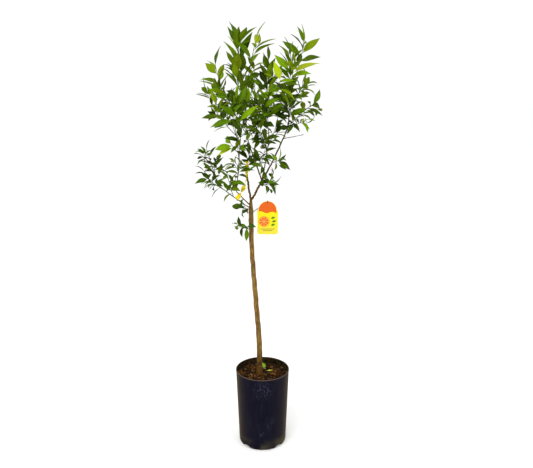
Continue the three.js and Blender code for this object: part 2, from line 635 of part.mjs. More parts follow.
// Tie: a closed loop round the trunk, behind the card, through its hole and over its top edge
function tieLine() {
  const share = (TIE_HEIGHT - TRUNK_FOOT[2]) / (TRUNK_FORK[2] - TRUNK_FOOT[2]);
  const [cx, cy] = trunkPoint(share);
  const clear = TIE_RADIUS + GAP;
  const round = trunkRadius(TIE_HEIGHT) + clear + 0.2;
  const line = [];
  for (let angle = 70; angle <= 290; angle += 27.5) {
    line.push([cx + round * Math.cos(angle * DEG), cy + round * Math.sin(angle * DEG), TIE_HEIGHT]);
  }
  const middle = (TAG_LEFT + TAG_RIGHT) / 2;
  const holeTop = TAG_TOP - HOLE_BELOW_TOP + HOLE_RADIUS - clear;
  const back = TAG_FRONT + TAG_THICK + clear;
  const front = TAG_FRONT - clear;
  line.push(
    [middle - 12, back + 0.6, holeTop - 4],
    [middle, back, holeTop],
    [middle, front, holeTop],
    [middle, front, TAG_TOP + clear],
    [middle, back, TAG_TOP + clear],
    [middle - 16, back + 5, TAG_TOP - 14],
  );
  return line;
}

function tie() {
  const line = tieLine();
  const count = line.length;
  const rings = line.map((p, k) => {
    const heading = unit(sub(line[(k + 1) % count], line[(k + count - 1) % count]));
    const a = unit(cross(heading, [0.3, 0.2, 1]));
    return circleOf(p, a, cross(heading, a), TIE_RADIUS, 5);
  });
  return loft(rings, true);
}

// Strip label: a ribbon held by a collar on the cut bough, its lower end swinging to the left
function collarPlace(lines) {
  const [centre, heading] = along(lines.central_bough, COLLAR_AT);
  const bough = limbRadius('central_bough', lines.central_bough, COLLAR_AT);
  const radius = bough + GAP + STRIP_THICK;
  return { centre, heading, radius, front: add(centre, [0, -radius, 0]) };
}

// Share runs from -1 at the upper end, past 0 at the collar, to 1 at the lower end
function stripPoint(front, share) {
  const reach = share < 0 ? STRIP_UP : STRIP_DOWN;
  const k = Math.abs(share);
  return add(front, [reach[0] * k * k, reach[1] * k, reach[2] * k]);
}

function stripLine(front) {
  const line = [];
  for (let i = -STRIP_STEPS; i <= STRIP_STEPS; i += 1) line.push(stripPoint(front, i / STRIP_STEPS));
  return line;
}

function stripLabel(lines) {
  const { centre, heading, radius, front } = collarPlace(lines);
  const line = stripLine(front);
  const ribbon = line.map((p, k) => {
    const next = line[Math.min(k + 1, line.length - 1)];
    const ahead = unit(sub(next, line[Math.max(k - 1, 0)]));
    const across = unit(cross(ahead, [0, 1, 0]));
    return slabRing(p, mul(across, STRIP_WIDTH / 2), mul(cross(ahead, across), STRIP_THICK / 2));
  });
  const [a, b] = squareTo(heading);
  const collar = [];
  for (let i = 0; i < COLLAR_SIDES; i += 1) {
    const angle = (2 * Math.PI * i) / COLLAR_SIDES;
    const out = add(mul(a, Math.cos(angle)), mul(b, Math.sin(angle)));
    const p = add(centre, mul(out, radius));
    collar.push(slabRing(p, mul(heading, COLLAR_HEIGHT / 2), mul(out, STRIP_THICK / 2)));
  }
  return loft(ribbon).add(loft(collar, true));
}

function slabRing(p, across, through) {
  return [
    add(add(p, across), through),
    add(sub(p, across), through),
    sub(sub(p, across), through),
    sub(add(p, across), through),
  ];
}

// Leaves that have dropped onto the soil and lie there, their tips curled up
function fallenLeaf({ root, tip, width, rise }) {
  const start = [root[0], root[1], SOIL_TOP + GAP];
  const end = [tip[0], tip[1], SOIL_TOP + GAP + rise];
  const side = mul(unit(cross(sub(end, start), UP)), width / 2);
  const thick = LEAF_THICK_SHARE * length(sub(end, start));
  const rings = [0.06, 0.3, 0.55, 0.8].map((share) => {
    const lying = between(start, end, share);
    const p = [lying[0], lying[1], start[2] + rise * share * share];
    const half = mul(side, bladeShare(share + 0.04));
    const edge = add(p, [0, 0, 2 * thick]);
    return [add(edge, half), sub(edge, half), p];
  });
  return loft([...rings, [end]]);
}

// What the foliage keeps clear of besides the limbs: the card, its tie and the strip label
function fixedObstacles(lines) {
  const card = [];
  for (let x = TAG_LEFT; x < TAG_RIGHT; x += CARD_PROBE_STEP) {
    for (let z = TAG_BOTTOM; z < TAG_TOP; z += CARD_PROBE_STEP) {
      card.push({ point: [x, TAG_FRONT, z], room: CARD_PROBE_STEP });
    }
  }
  const loop = tieLine().map((point) => ({ point, room: TIE_RADIUS + ROOM_WITHIN }));
  const strip = stripLine(collarPlace(lines).front).map((point) => ({ point, room: STRIP_WIDTH + 1 }));
  return [...card, ...loop, ...strip];
}

// The whole plant in its pot
function potted() {
  const tree = new THREE.Group();
  const lines = limbLines();
  const { solids, taken } = limbSolids(lines);
  tree.add(meshOf('pot', pot(), 0x1d1e28, 0.55));
  tree.add(meshOf('soil', soil(), 0x4a3420, 0.95));
  for (const [name, solid] of Object.entries(solids)) tree.add(meshOf(name, solid, 0x8a6a34, 0.85));
  for (const spray of grow(lines, fixedObstacles(lines))) {
    tree.add(meshOf(spray.name, spraySolid(spray, taken), TONES[spray.tone], 0.5));
  }
  tree.add(meshOf('tag', tag(), 0xf2e22a, 0.35));
  tree.add(meshOf('tag_tie', tie(), 0x2a2620, 0.5));
  tree.add(meshOf('strip_label', stripLabel(lines), 0xf4e24a, 0.4));
  for (const [name, leaf] of Object.entries(FALLEN)) {
    tree.add(meshOf(name, fallenLeaf(leaf), leaf.colour, 0.5));
  }
  return tree;
}

export default potted();
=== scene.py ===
# %% [markdown]
# # A young mandarin tree in a nursery pot
# The real object is a grafted citrus of about 1.7 m: one clean stem, a small open crown, a black ten litre
# pot and a printed card on a tie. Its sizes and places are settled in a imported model, and this lesson gives
# every piece its true surface around that model. All lengths below are millimetres, as in the model's
# source, and become metres only when a mesh is made.

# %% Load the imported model
import math

import bpy
import numpy as np
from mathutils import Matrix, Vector


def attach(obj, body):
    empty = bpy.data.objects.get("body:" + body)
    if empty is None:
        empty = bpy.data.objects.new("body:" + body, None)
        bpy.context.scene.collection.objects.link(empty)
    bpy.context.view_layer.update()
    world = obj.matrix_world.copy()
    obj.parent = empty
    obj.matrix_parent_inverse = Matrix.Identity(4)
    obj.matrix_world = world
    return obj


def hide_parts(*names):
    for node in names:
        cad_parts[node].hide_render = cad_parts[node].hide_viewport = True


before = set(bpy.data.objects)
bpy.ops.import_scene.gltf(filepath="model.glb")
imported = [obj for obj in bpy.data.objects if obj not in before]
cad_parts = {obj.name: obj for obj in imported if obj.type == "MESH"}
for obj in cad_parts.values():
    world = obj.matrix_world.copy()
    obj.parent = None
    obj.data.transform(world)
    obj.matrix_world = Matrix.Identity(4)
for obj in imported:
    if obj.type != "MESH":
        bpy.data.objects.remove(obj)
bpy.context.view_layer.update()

MM = 0.001
print("nodes in the packed model:", len(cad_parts))

# %% [markdown]
# ## Camera
# The picture was taken from chest height, about 2.4 m away, with the camera tipped a little down. The rim
# of the pot shows as an ellipse, and its height against its width gives that tilt. A lens given as a focal
# length in pixels is turned into Blender's millimetres with the sensor's width, so the framing is exact.

# %% Camera at the picture's angle
PICTURE_WIDTH = 533
FOCAL_PIXELS = 628.7
SENSOR_WIDTH = 36
CAMERA_PLACE = (0.0167, -2.4, 1.5184)
CAMERA_PITCH = 14.385

bpy.ops.object.camera_add(location=CAMERA_PLACE, rotation=(math.radians(90 - CAMERA_PITCH), 0, 0))
camera = bpy.context.object
camera.data.sensor_width = SENSOR_WIDTH
camera.data.lens = FOCAL_PIXELS * SENSOR_WIDTH / PICTURE_WIDTH
bpy.context.scene.camera = camera
print("lens in mm:", round(camera.data.lens, 2))

# %% [markdown]
# ## Selecting
# An operator acts on whatever is selected, and loading the model leaves its nodes selected. So every step
# first picks exactly what it works on. Modifiers are applied at once, because a piece is handed over as the
# mesh that is seen, and normals are recalculated after each shape, so that all faces point outwards.

# %% Selecting, modifiers and shading
def deselect():
    if bpy.context.mode != "OBJECT":
        bpy.ops.object.mode_set(mode="OBJECT")
    bpy.ops.object.select_all(action="DESELECT")


def pick(*objects):
    deselect()
    for obj in objects:
        obj.select_set(True)
    bpy.context.view_layer.objects.active = objects[0]


def join(*objects):
    """Joins objects into the first one."""
    pick(*objects)
    bpy.ops.object.join()


def apply_modifier(obj, kind, **settings):
    """Adds a modifier with its settings and applies it at once."""
    pick(obj)
    modifier = obj.modifiers.new(kind, kind)
    for name, value in settings.items():
        setattr(modifier, name, value)
    bpy.ops.object.modifier_apply(modifier=modifier.name)


def face_outwards(obj):
    pick(obj)
    bpy.ops.object.mode_set(mode="EDIT")
    bpy.ops.mesh.select_all(action="SELECT")
    bpy.ops.mesh.normals_make_consistent(inside=False)
    bpy.ops.object.mode_set(mode="OBJECT")


def smooth(obj, degrees=None):
    """Shades smooth, and keeps the edges that are sharper than an angle, if one is given."""
    pick(obj)
    if degrees:
        bpy.ops.object.shade_smooth_by_angle(angle=math.radians(degrees))
    else:
        bpy.ops.object.shade_smooth()


print("selected after loading:", len(bpy.context.selected_objects))
deselect()

# %% [markdown]
# ## The pot
# A nursery pot is injection moulded in thin polypropylene: a tapering wall, a thicker lip, a rounded base
# edge and a foot ring with notches that let water out. It is drawn as its section, step by step: a disc
# is extruded from one height to the next and scaled to the radius there, out, up, over the lip and down
# again inside. That keeps the shell closed, with its wall truly two millimetres thick.

# %% Pot: sizes
POT_HEIGHT = 325
POT_TOP_RADIUS = 110
POT_BASE_RADIUS = 98
POT_WALL = 2
POT_SIDES = 128
WALL_STEPS = 14
INNER_RING_HEIGHT = 150
LIP_HEIGHT = 7
LIP_WALL = 2.8
LIP_STEP = 1
LIP_BEAD = 0.7
LIP_BEAD_RISE = 0.8
LIP_CREST = 0.9
LIP_ROUND = 0.6
LIP_DROP = 0.2
BASE_EDGE_RADIUS = 10
BASE_EDGE_STEPS = 7
FLOOR_THICK = 3
FLOOR_DISC = 40
FOOT_RING_INNER = 70
FOOT_RING_HEIGHT = 19


def outer_radius(height):
    return POT_BASE_RADIUS + (POT_TOP_RADIUS - POT_BASE_RADIUS) * height / POT_HEIGHT


print("wall radius at half height:", outer_radius(POT_HEIGHT / 2))

# %% Pot: drawn from ring to ring
UP = np.array([0.0, 0.0, 1.0])


def drawn_up(centres, radii, sides):
    """A closed shape, drawn from a disc through level rings."""
    deselect()
    bpy.ops.mesh.primitive_circle_add(
        vertices=sides, radius=radii[0] * MM, fill_type="NGON", location=centres[0] * MM
    )
    obj = bpy.context.object
    bpy.ops.object.transform_apply(location=True)
    bpy.ops.object.mode_set(mode="EDIT")
    bpy.ops.mesh.select_all(action="SELECT")
    for k in range(1, len(radii)):
        rise = (centres[k] - centres[k - 1]) * MM
        scale = radii[k] / radii[k - 1]
        bpy.ops.mesh.extrude_region_move(TRANSFORM_OT_translate={"value": rise})
        bpy.ops.transform.resize(value=(scale, scale, 1), center_override=centres[k] * MM)
    face_outwards(obj)
    return obj


def turned_shape(section, sides):
    """A closed shape about the Z axis, drawn through (radius, height) pairs."""
    return drawn_up([UP * height for _, height in section], [radius for radius, _ in section], sides)


pot_section = [(FLOOR_DISC, 0)]
edge_top = outer_radius(BASE_EDGE_RADIUS)
for i in range(BASE_EDGE_STEPS + 1):
    angle = 0.5 * math.pi * i / BASE_EDGE_STEPS
    inward = BASE_EDGE_RADIUS * (1 - math.sin(angle))
    pot_section.append((edge_top - inward, BASE_EDGE_RADIUS * (1 - math.cos(angle))))
lip_foot = POT_HEIGHT - LIP_HEIGHT
for i in range(1, WALL_STEPS + 1):
    height = BASE_EDGE_RADIUS + (lip_foot - BASE_EDGE_RADIUS) * i / WALL_STEPS
    pot_section.append((outer_radius(height), height))
pot_section += [
    (outer_radius(lip_foot) + LIP_BEAD, lip_foot + LIP_BEAD_RISE),
    (POT_TOP_RADIUS + LIP_BEAD, POT_HEIGHT - 2 * LIP_ROUND),
    (POT_TOP_RADIUS + LIP_BEAD - LIP_ROUND, POT_HEIGHT - LIP_DROP),
    (POT_TOP_RADIUS - LIP_CREST, POT_HEIGHT),
    (POT_TOP_RADIUS - LIP_WALL + LIP_ROUND, POT_HEIGHT - LIP_DROP),
    (POT_TOP_RADIUS - LIP_WALL, POT_HEIGHT - LIP_STEP),
    (outer_radius(lip_foot) - LIP_WALL, lip_foot),
    (outer_radius(lip_foot) - POT_WALL, lip_foot - LIP_STEP),
    (outer_radius(INNER_RING_HEIGHT) - POT_WALL, INNER_RING_HEIGHT),
    (outer_radius(FOOT_RING_HEIGHT) - POT_WALL, FOOT_RING_HEIGHT),
    (FOOT_RING_INNER, FOOT_RING_HEIGHT),
    (FOOT_RING_INNER, FLOOR_THICK),
    (FLOOR_DISC, FLOOR_THICK),
]
pot = turned_shape(pot_section, POT_SIDES)
print("pot section:", len(pot_section), "steps")

# %% [markdown]
# The drainage notches sit on the four diagonals of the foot ring. A block with rounded upper edges stands
# for the space that a notch takes, its copies are turned into place and joined, and one Boolean cuts them.

# %% Pot: drainage notches
NOTCH_HEIGHT = 13
NOTCH_INNER = 74
NOTCH_OUTER = 116
NOTCH_HALF_WIDTH = 18
NOTCH_ROUNDING = 5
NOTCH_COUNT = 4


def way(angle):
    """The direction at an angle from the X axis to the Y axis."""
    return np.array([math.cos(angle), math.sin(angle), 0])


cutters = []
for i in range(NOTCH_COUNT):
    deselect()
    bpy.ops.mesh.primitive_cube_add(size=1)
    cutter = bpy.context.object
    cutter.scale = np.array([NOTCH_OUTER - NOTCH_INNER, 2 * NOTCH_HALF_WIDTH, 2 * NOTCH_HEIGHT]) * MM
    bpy.ops.object.transform_apply(scale=True)
    apply_modifier(cutter, "BEVEL", width=NOTCH_ROUNDING * MM, segments=4)
    turn = math.radians((i + 0.5) * 360 / NOTCH_COUNT)
    cutter.location = way(turn) * (NOTCH_INNER + NOTCH_OUTER) / 2 * MM
    cutter.rotation_euler = (0, 0, turn)
    cutters.append(cutter)
join(*cutters)
apply_modifier(pot, "BOOLEAN", operation="DIFFERENCE", object=cutters[0], solver="EXACT")
bpy.data.objects.remove(cutters[0])
smooth(pot, 35)
print("pot faces:", len(pot.data.polygons))

# %% [markdown]
# ### Finishes
# Colours are picked as sRGB hex values, as a colour chart gives them, while shaders work on linear light.
# One function converts them, and a second one adds any shader node. A finish is then painted in layers, as
# by hand: each is a colour laid over what is there, as far as its shares reach. A share is a number, clouds
# of a real size in millimetres, or a rise along an axis, all read from Object coordinates.

# %% Colours, nodes and layers
def linear(hex_code):
    """An sRGB hex colour as linear red, green, blue and alpha."""
    channels = [int(hex_code[i : i + 2], 16) / 255 for i in (1, 3, 5)]
    return [c / 12.92 if c <= 0.04045 else ((c + 0.055) / 1.055) ** 2.4 for c in channels] + [1]


def add_node(tree, kind, inputs=None, **settings):
    """A shader node. An input takes a number, a colour's hex code, or another node's output as a link."""
    node = tree.nodes.new(kind)
    for name, value in settings.items():
        setattr(node, name, value)
    for name, value in (inputs or {}).items():
        if isinstance(value, bpy.types.NodeSocket):
            tree.links.new(value, node.inputs[name])
        else:
            node.inputs[name].default_value = linear(value) if isinstance(value, str) else value
    return node


class Finish:
    """A material in the making: its node tree, its shader and its colour so far."""

    def __init__(self, name, roughness, colour, **settings):
        self.material = bpy.data.materials.new(name)
        self.material.use_nodes = True
        self.tree = self.material.node_tree
        self.shader = self.tree.nodes["Principled BSDF"]
        self.colour = colour
        sockets = {"Base_Color": linear(colour), "Roughness": roughness, **settings}
        for socket, value in sockets.items():
            self.shader.inputs[socket.replace("_", " ")].default_value = value
        self.place = add_node(self.tree, "ShaderNodeTexCoord").outputs["Object"]

    def clouds(self, size, detail=3, stretch=(1, 1, 1)):
        """A random pattern of clouds about size millimetres across, drawn out along an axis by stretch."""
        scale = [1 / (k * size * MM) for k in stretch]
        mapped = add_node(self.tree, "ShaderNodeMapping", {"Vector": self.place, "Scale": scale})
        inputs = {"Vector": mapped.outputs["Vector"], "Scale": 1, "Detail": detail}
        return add_node(self.tree, "ShaderNodeTexNoise", inputs).outputs["Fac"]

    def blotches(self, low, high, size, detail=3, stretch=(1, 1, 1)):
        """Clouds with an edge: a share of 0 up to the low value, and of 1 from the high one."""
        inputs = {"Value": self.clouds(size, detail, stretch), "From Min": low, "From Max": high}
        return add_node(self.tree, "ShaderNodeMapRange", inputs).outputs["Result"]

    def rise_along(self, axis, start, end):
        """A share that goes from 0 to 1 along an axis, from start to end in metres."""
        parted = add_node(self.tree, "ShaderNodeSeparateXYZ", {"Vector": self.place})
        inputs = {"Value": parted.outputs[axis], "From Min": start, "From Max": end}
        return add_node(self.tree, "ShaderNodeMapRange", inputs).outputs["Result"]

    def paint(self, colour, *shares):
        """Lays a colour over what is there, as far as the product of its shares reaches."""
        share = shares[0]
        for factor in shares[1:]:
            inputs = {0: share, 1: factor}
            share = add_node(self.tree, "ShaderNodeMath", inputs, operation="MULTIPLY").outputs[0]
        layers = {0: share, 6: self.colour, 7: colour}
        self.colour = add_node(self.tree, "ShaderNodeMix", layers, data_type="RGBA").outputs[2]
        self.tree.links.new(self.colour, self.shader.inputs["Base Color"])

    def relief(self, depth, *clouds):
        """Lets clouds raise the surface by up to depth millimetres."""
        inputs = {"Height": self.clouds(*clouds), "Strength": 1, "Distance": depth * MM}
        bump = add_node(self.tree, "ShaderNodeBump", inputs)
        self.tree.links.new(bump.outputs["Normal"], self.shader.inputs["Normal"])


def mottled(name, roughness, colours, blotches, relief=None, **settings):
    """A finish of one colour with blotches of another, and often a relief."""
    finish = Finish(name, roughness, colours[0], **settings)
    finish.paint(colours[1], finish.blotches(*blotches))
    if relief:
        finish.relief(*relief)
    return finish.material


print("white as linear light:", linear("#ffffff")[:3])

# %% [markdown]
# ### Moulded polypropylene, used and dusty
# Recycled polypropylene coloured with carbon black looks navy in soft light and shines softly. Compost dust
# clings to it: seen edge on it turns brown, which sheen gives from every side, and it runs down in streaks.
# Handling leaves pale scuffs, the foot is earthy, and a thin pale line is painted round the top of the lip:
# partly wear, partly a painted highlight where the lip catches the light.
# Inside, a film of wet compost covers the wall. The grain of the mould is finer than a pixel here, and is
# drawn at 2.5 mm, so that it shows. A finished piece is then handed over in one place: its transforms are
# applied, it rides with the plant, the nodes that it stands for are hidden, and it takes its finish.

# %% Pot: finish
SCUFFED_PLACES = (
    ((0.000, -0.108, 0.280), 0.050, 0.5),
    ((-0.003, -0.101, 0.075), 0.018, 0.5),
    ((0.034, -0.098, 0.125), 0.034, 0.2),
)
SCRATCHES = (0.5, 0.66, 6, 5, (1, 1, 2.2))
EARTH_HEIGHT = 0.055
DUST_SHEEN = {"Sheen_Weight": 0.56, "Sheen_Roughness": 0.38, "Sheen_Tint": linear("#887030")}
FILM_TOP = POT_HEIGHT - 3


def finish_piece(obj, name, materials, replaced=()):
    pick(obj)
    bpy.ops.object.transform_apply(location=True, rotation=True, scale=True)
    obj.name = name
    obj.data.name = name
    for material in materials:
        obj.data.materials.append(material)
    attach(obj, "root")
    if replaced:
        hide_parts(*replaced)
    triangles = sum(len(face.vertices) - 2 for face in obj.data.polygons)
    print(f"{name}: {triangles} triangles, stands for {len(replaced)} nodes")


plastic = Finish("moulded polypropylene", 0.5, "#090a1a", IOR=1.49, Specular_IOR_Level=0.02, **DUST_SHEEN)
plastic.paint("#0f101e", plastic.blotches(0.35, 0.7, 60, 4))
plastic.paint("#332c20", plastic.blotches(0.5, 0.8, 8, 3, (1, 1, 9)), 0.18)
low_down = plastic.rise_along("Z", EARTH_HEIGHT, 0)
plastic.paint("#4e4830", low_down, plastic.blotches(0.4, 0.68, 60, 4), 0.8)
for centre, reach, strength in SCUFFED_PLACES:
    inputs = {0: plastic.place, 1: centre}
    away = add_node(plastic.tree, "ShaderNodeVectorMath", inputs, operation="DISTANCE").outputs["Value"]
    inputs = {"Value": away, "From Min": reach, "From Max": 0.2 * reach}
    near = add_node(plastic.tree, "ShaderNodeMapRange", inputs).outputs["Result"]
    plastic.paint("#484d62", near, plastic.blotches(*SCRATCHES), strength)
# Pale band on the top of the lip: partly wear, partly a painted highlight where it catches the light.
lip_wear_and_highlight = plastic.rise_along("Z", (POT_HEIGHT - 2.2) * MM, (POT_HEIGHT - 0.8) * MM)
plastic.paint("#64544a", lip_wear_and_highlight, 0.7)
plastic.relief(0.12, 2.5, 2)

FILM = ("compost film on polypropylene", 0.85, ("#14110c", "#33260f"))
film = mottled(*FILM, (0.4, 0.62, 12, 4), (0.3, 12, 4), Specular_IOR_Level=0.05)
for face in pot.data.polygons:
    faces_inward = face.normal.x * face.center.x + face.normal.y * face.center.y < 0
    face.material_index = int(faces_inward and face.center.z < FILM_TOP * MM)
finish_piece(pot, "nursery_pot", [plastic.material, film], ["pot"])

# %% [markdown]
# ## The soil
# The pot is filled with composted pine bark. The body of it is turned like the pot, up to 30 mm below the
# rim, heaped a little towards the wall. Its top is then pushed up and down with a displace modifier, which
# reads a cloud texture of lump size. What shows in the picture is the loose layer of chips, made next.

# %% Soil: body
SOIL_TOP = 294.5
SOIL_RISE = 4
SOIL_LEVEL_RADIUS = 84
GAP = 0.3
SOIL_RINGS = 26
SOIL_SIDES = 96
LUMP_SIZE = 14
LUMP_HEIGHT = 5


def soil_height(radius):
    """Level round the trunk, heaped a little towards the wall."""
    wall = outer_radius(SOIL_TOP) - POT_WALL
    share = max(0, (radius - SOIL_LEVEL_RADIUS) / (wall - SOIL_LEVEL_RADIUS))
    return SOIL_TOP + SOIL_RISE * share * share


soil_wall = outer_radius(SOIL_TOP) - POT_WALL - GAP
soil_section = [
    (FOOT_RING_INNER - GAP, FLOOR_THICK + GAP),
    (FOOT_RING_INNER - GAP, FOOT_RING_HEIGHT + GAP),
    (outer_radius(FOOT_RING_HEIGHT) - POT_WALL - GAP, FOOT_RING_HEIGHT + GAP),
]
for i in range(SOIL_RINGS):
    radius = soil_wall * (1 - i / SOIL_RINGS)
    soil_section.append((radius, soil_height(radius)))
soil = turned_shape(soil_section, SOIL_SIDES)
above = [v.index for v in soil.data.vertices if v.co.z > (SOIL_TOP - 0.5) * MM]
soil.vertex_groups.new(name="top").add(above, 1, "REPLACE")
lumps = bpy.data.textures.new("soil lumps", "CLOUDS")
lumps.noise_scale = LUMP_SIZE * MM
settings = {"mid_level": 0.6, "vertex_group": "top", "direction": "Z", "texture_coords": "LOCAL"}
apply_modifier(soil, "DISPLACE", texture=lumps, strength=LUMP_HEIGHT * MM, **settings)
smooth(soil, 50)
print("soil top vertices:", len(above))

# %% [markdown]
# ### Damp compost
# Composted bark is crumbly, damp and almost black, and swallows the light. Its crumbs of about 4 mm are dark
# brown on black, and the same clouds raise them by a millimetre.

# %% Soil: finish
compost = mottled("damp pine bark compost", 0.95, ("#120b07", "#2a1a0f"), (0.35, 0.65, 4, 5), (1.2, 4, 5))
finish_piece(soil, "compost", [compost], ["soil"])

# %% [markdown]
# ### Bark chips
# Chips are splinters of pine bark: flat, longer than wide, split along the grain. There are hundreds, so
# each is a small block of a few faces, bent and roughened by seeded draws. Small parts like these are
# gathered as points and faces and become one mesh, which is much faster than an object for each.

# %% Repeatable draws
def seeded(seed):
    """A stream of repeatable numbers between low and high."""
    state = seed * 2654435761 % 2**32

    def draw(low, high):
        nonlocal state
        state = (state * 1664525 + 1013904223) % 2**32
        return low + (high - low) * state / 2**32

    for _ in range(3):
        draw(0, 1)
    return draw


print("a draw from 0 to 1:", round(seeded(1)(0, 1), 3))

# %% Many parts in one mesh
def ring_faces(rings, around):
    """Side faces of a tube of rings, and its two ends."""
    faces = []
    for ring in range(0, (rings - 1) * around, around):
        for i in range(around):
            a, b = ring + i, ring + (i + 1) % around
            faces.append((a, b, b + around, a + around))
    faces.append(tuple(reversed(range(around))))
    faces.append(tuple(range((rings - 1) * around, rings * around)))
    return faces


class Shapes:
    """Many parts of one mesh, in millimetres. The kind of a face is the number of its material."""

    def __init__(self):
        self.points, self.faces, self.kinds = [], [], []

    def add(self, points, faces, kinds=0):
        """Adds a part. All its faces are of one kind, or a list gives one for each."""
        first = len(self.points)
        self.points += list(points)
        self.faces += [tuple(first + i for i in face) for face in faces]
        self.kinds += [kinds] * len(faces) if isinstance(kinds, int) else kinds

    def mesh(self):
        mesh = bpy.data.meshes.new("shapes")
        mesh.from_pydata((np.array(self.points) * MM).tolist(), [], self.faces)
        mesh.polygons.foreach_set("material_index", self.kinds)
        mesh.update()
        obj = bpy.data.objects.new("shapes", mesh)
        bpy.context.scene.collection.objects.link(obj)
        return obj


print("faces of a tube of four rings of four:", len(ring_faces(4, 4)))

# %% Chips: shape
CHIP_SECTIONS = 4
CHIP_CORNERS = ((-1, -1), (1, -1), (1, 1), (-1, 1))
chip_faces = ring_faces(CHIP_SECTIONS, len(CHIP_CORNERS))


def unit(v):
    return v / math.sqrt(v @ v)


def chip(draw, length, width, thick, centre, turn, tilt, curl):
    """The points of one splinter: four cross sections, each with four corners."""
    ahead = way(turn) * math.cos(tilt) + UP * math.sin(tilt)
    across = unit(np.array([-math.sin(turn), math.cos(turn), draw(-0.35, 0.35)]))
    up = np.cross(ahead, across)
    points = []
    for k in range(CHIP_SECTIONS):
        share = k / (CHIP_SECTIONS - 1)
        slim = 0.35 + 0.65 * math.sin(math.pi * (0.12 + 0.76 * share)) * draw(0.7, 1.1)
        middle = centre + ahead * (share - 0.5) * length + up * curl * length * (0.25 - (share - 0.5) ** 2)
        for side, top in CHIP_CORNERS:
            reach = across * side * 0.5 * width * slim * draw(0.75, 1.15)
            points.append(middle + reach + up * top * 0.5 * thick * draw(0.6, 1.2))
    return points


print("faces of one chip:", len(chip_faces))

# %% Chips: scattering
TRUNK_FOOT = np.array([-12, 0, SOIL_TOP + GAP])
CHIP_COUNT = 900
CHIP_LENGTH = (9, 32)
CHIP_WIDTH_SHARE = (0.28, 0.6)
CHIP_THICK = (1, 3)
CHIP_LIFT = (-1, 6)
CHIP_TILT = (-0.45, 0.45)
CHIP_CURL = (-0.3, 0.5)
CHIP_KINDS = ("#44290c", "#2b1908", "#150d06", "#6a461a", "#8c7450")
CHIP_DEAL = (0, 0, 0, 0, 1, 1, 1, 2, 2, 2, 3, 3, 4)
PALE_FLAKE = 4
ROOM_AT_TRUNK = 15
ROOM_AT_WALL = 2
KEEP_CLEAR = ((4, 76, 20), (22, 34, 13), (38, 31, 13))
SLIVER = (46, 6, 1.6, np.array([42, 18, SOIL_TOP + 4.5]), 0.35, 0.06, 0.5)
SLIVER_KIND = 3

draw = seeded(7)
heap = Shapes()
for _ in range(CHIP_COUNT):
    radius = (soil_wall - 2 * ROOM_AT_WALL) * math.sqrt(draw(0, 1))
    angle = draw(0, 2 * math.pi)
    length = draw(*CHIP_LENGTH) * draw(0.6, 1)
    kind = CHIP_DEAL[int(draw(0, len(CHIP_DEAL)))]
    if kind == PALE_FLAKE:
        length *= 0.5
    spread = min(radius, soil_wall - ROOM_AT_WALL - 0.5 * length)
    centre = spread * way(angle) + UP * (soil_height(spread) + draw(*CHIP_LIFT))
    taken = ((*TRUNK_FOOT[:2], ROOM_AT_TRUNK + 0.4 * length), *KEEP_CLEAR)
    if any(math.dist(centre[:2], (x, y)) < reach for x, y, reach in taken):
        continue
    width = length * draw(*CHIP_WIDTH_SHARE)
    shape = (length, width, draw(*CHIP_THICK), centre, draw(0, 6.28), draw(*CHIP_TILT), draw(*CHIP_CURL))
    heap.add(chip(draw, *shape), chip_faces, kind)
heap.add(chip(draw, *SLIVER), chip_faces, SLIVER_KIND)
chips = heap.mesh()
print("chips:", len(heap.faces) // len(chip_faces))

# %% [markdown]
# Pine bark splits into red-brown, brown and nearly black layers, and the odd flake shows its pale inner
# side. Each kind is a plain colour with a slight grain of fibres, rough as dry wood.

# %% Chips: finish
chip_materials = []
for i, colour in enumerate(CHIP_KINDS):
    chip_bark = Finish(f"pine bark chip {i + 1}", 0.9, colour, Specular_IOR_Level=0.08)
    layers = {0: chip_bark.blotches(0.3, 0.7, 1.6), 6: "#21140b", 7: colour}
    darker = add_node(chip_bark.tree, "ShaderNodeMix", layers, data_type="RGBA").outputs[2]
    chip_bark.paint(darker, chip_bark.blotches(0.5, 0.3, 1.6))
    chip_bark.relief(0.5, 1.6)
    chip_materials.append(chip_bark.material)
finish_piece(chips, "bark_chips", chip_materials)

# %% [markdown]
# ## Lines of growth
# Trunk and boughs follow the centre lines of the model. The trunk runs from its foot to the fork and sways
# a little on the way. A bough leaves its host at a share of the host's length and bows to its own tip. The
# same few numbers stand in the model's source, so the skin made here lies on the solids there. The girth is
# given as height and radius. A limb's row holds its host, the share of the host, its tip, its radius at the
# foot and at the tip, and how far it sags.

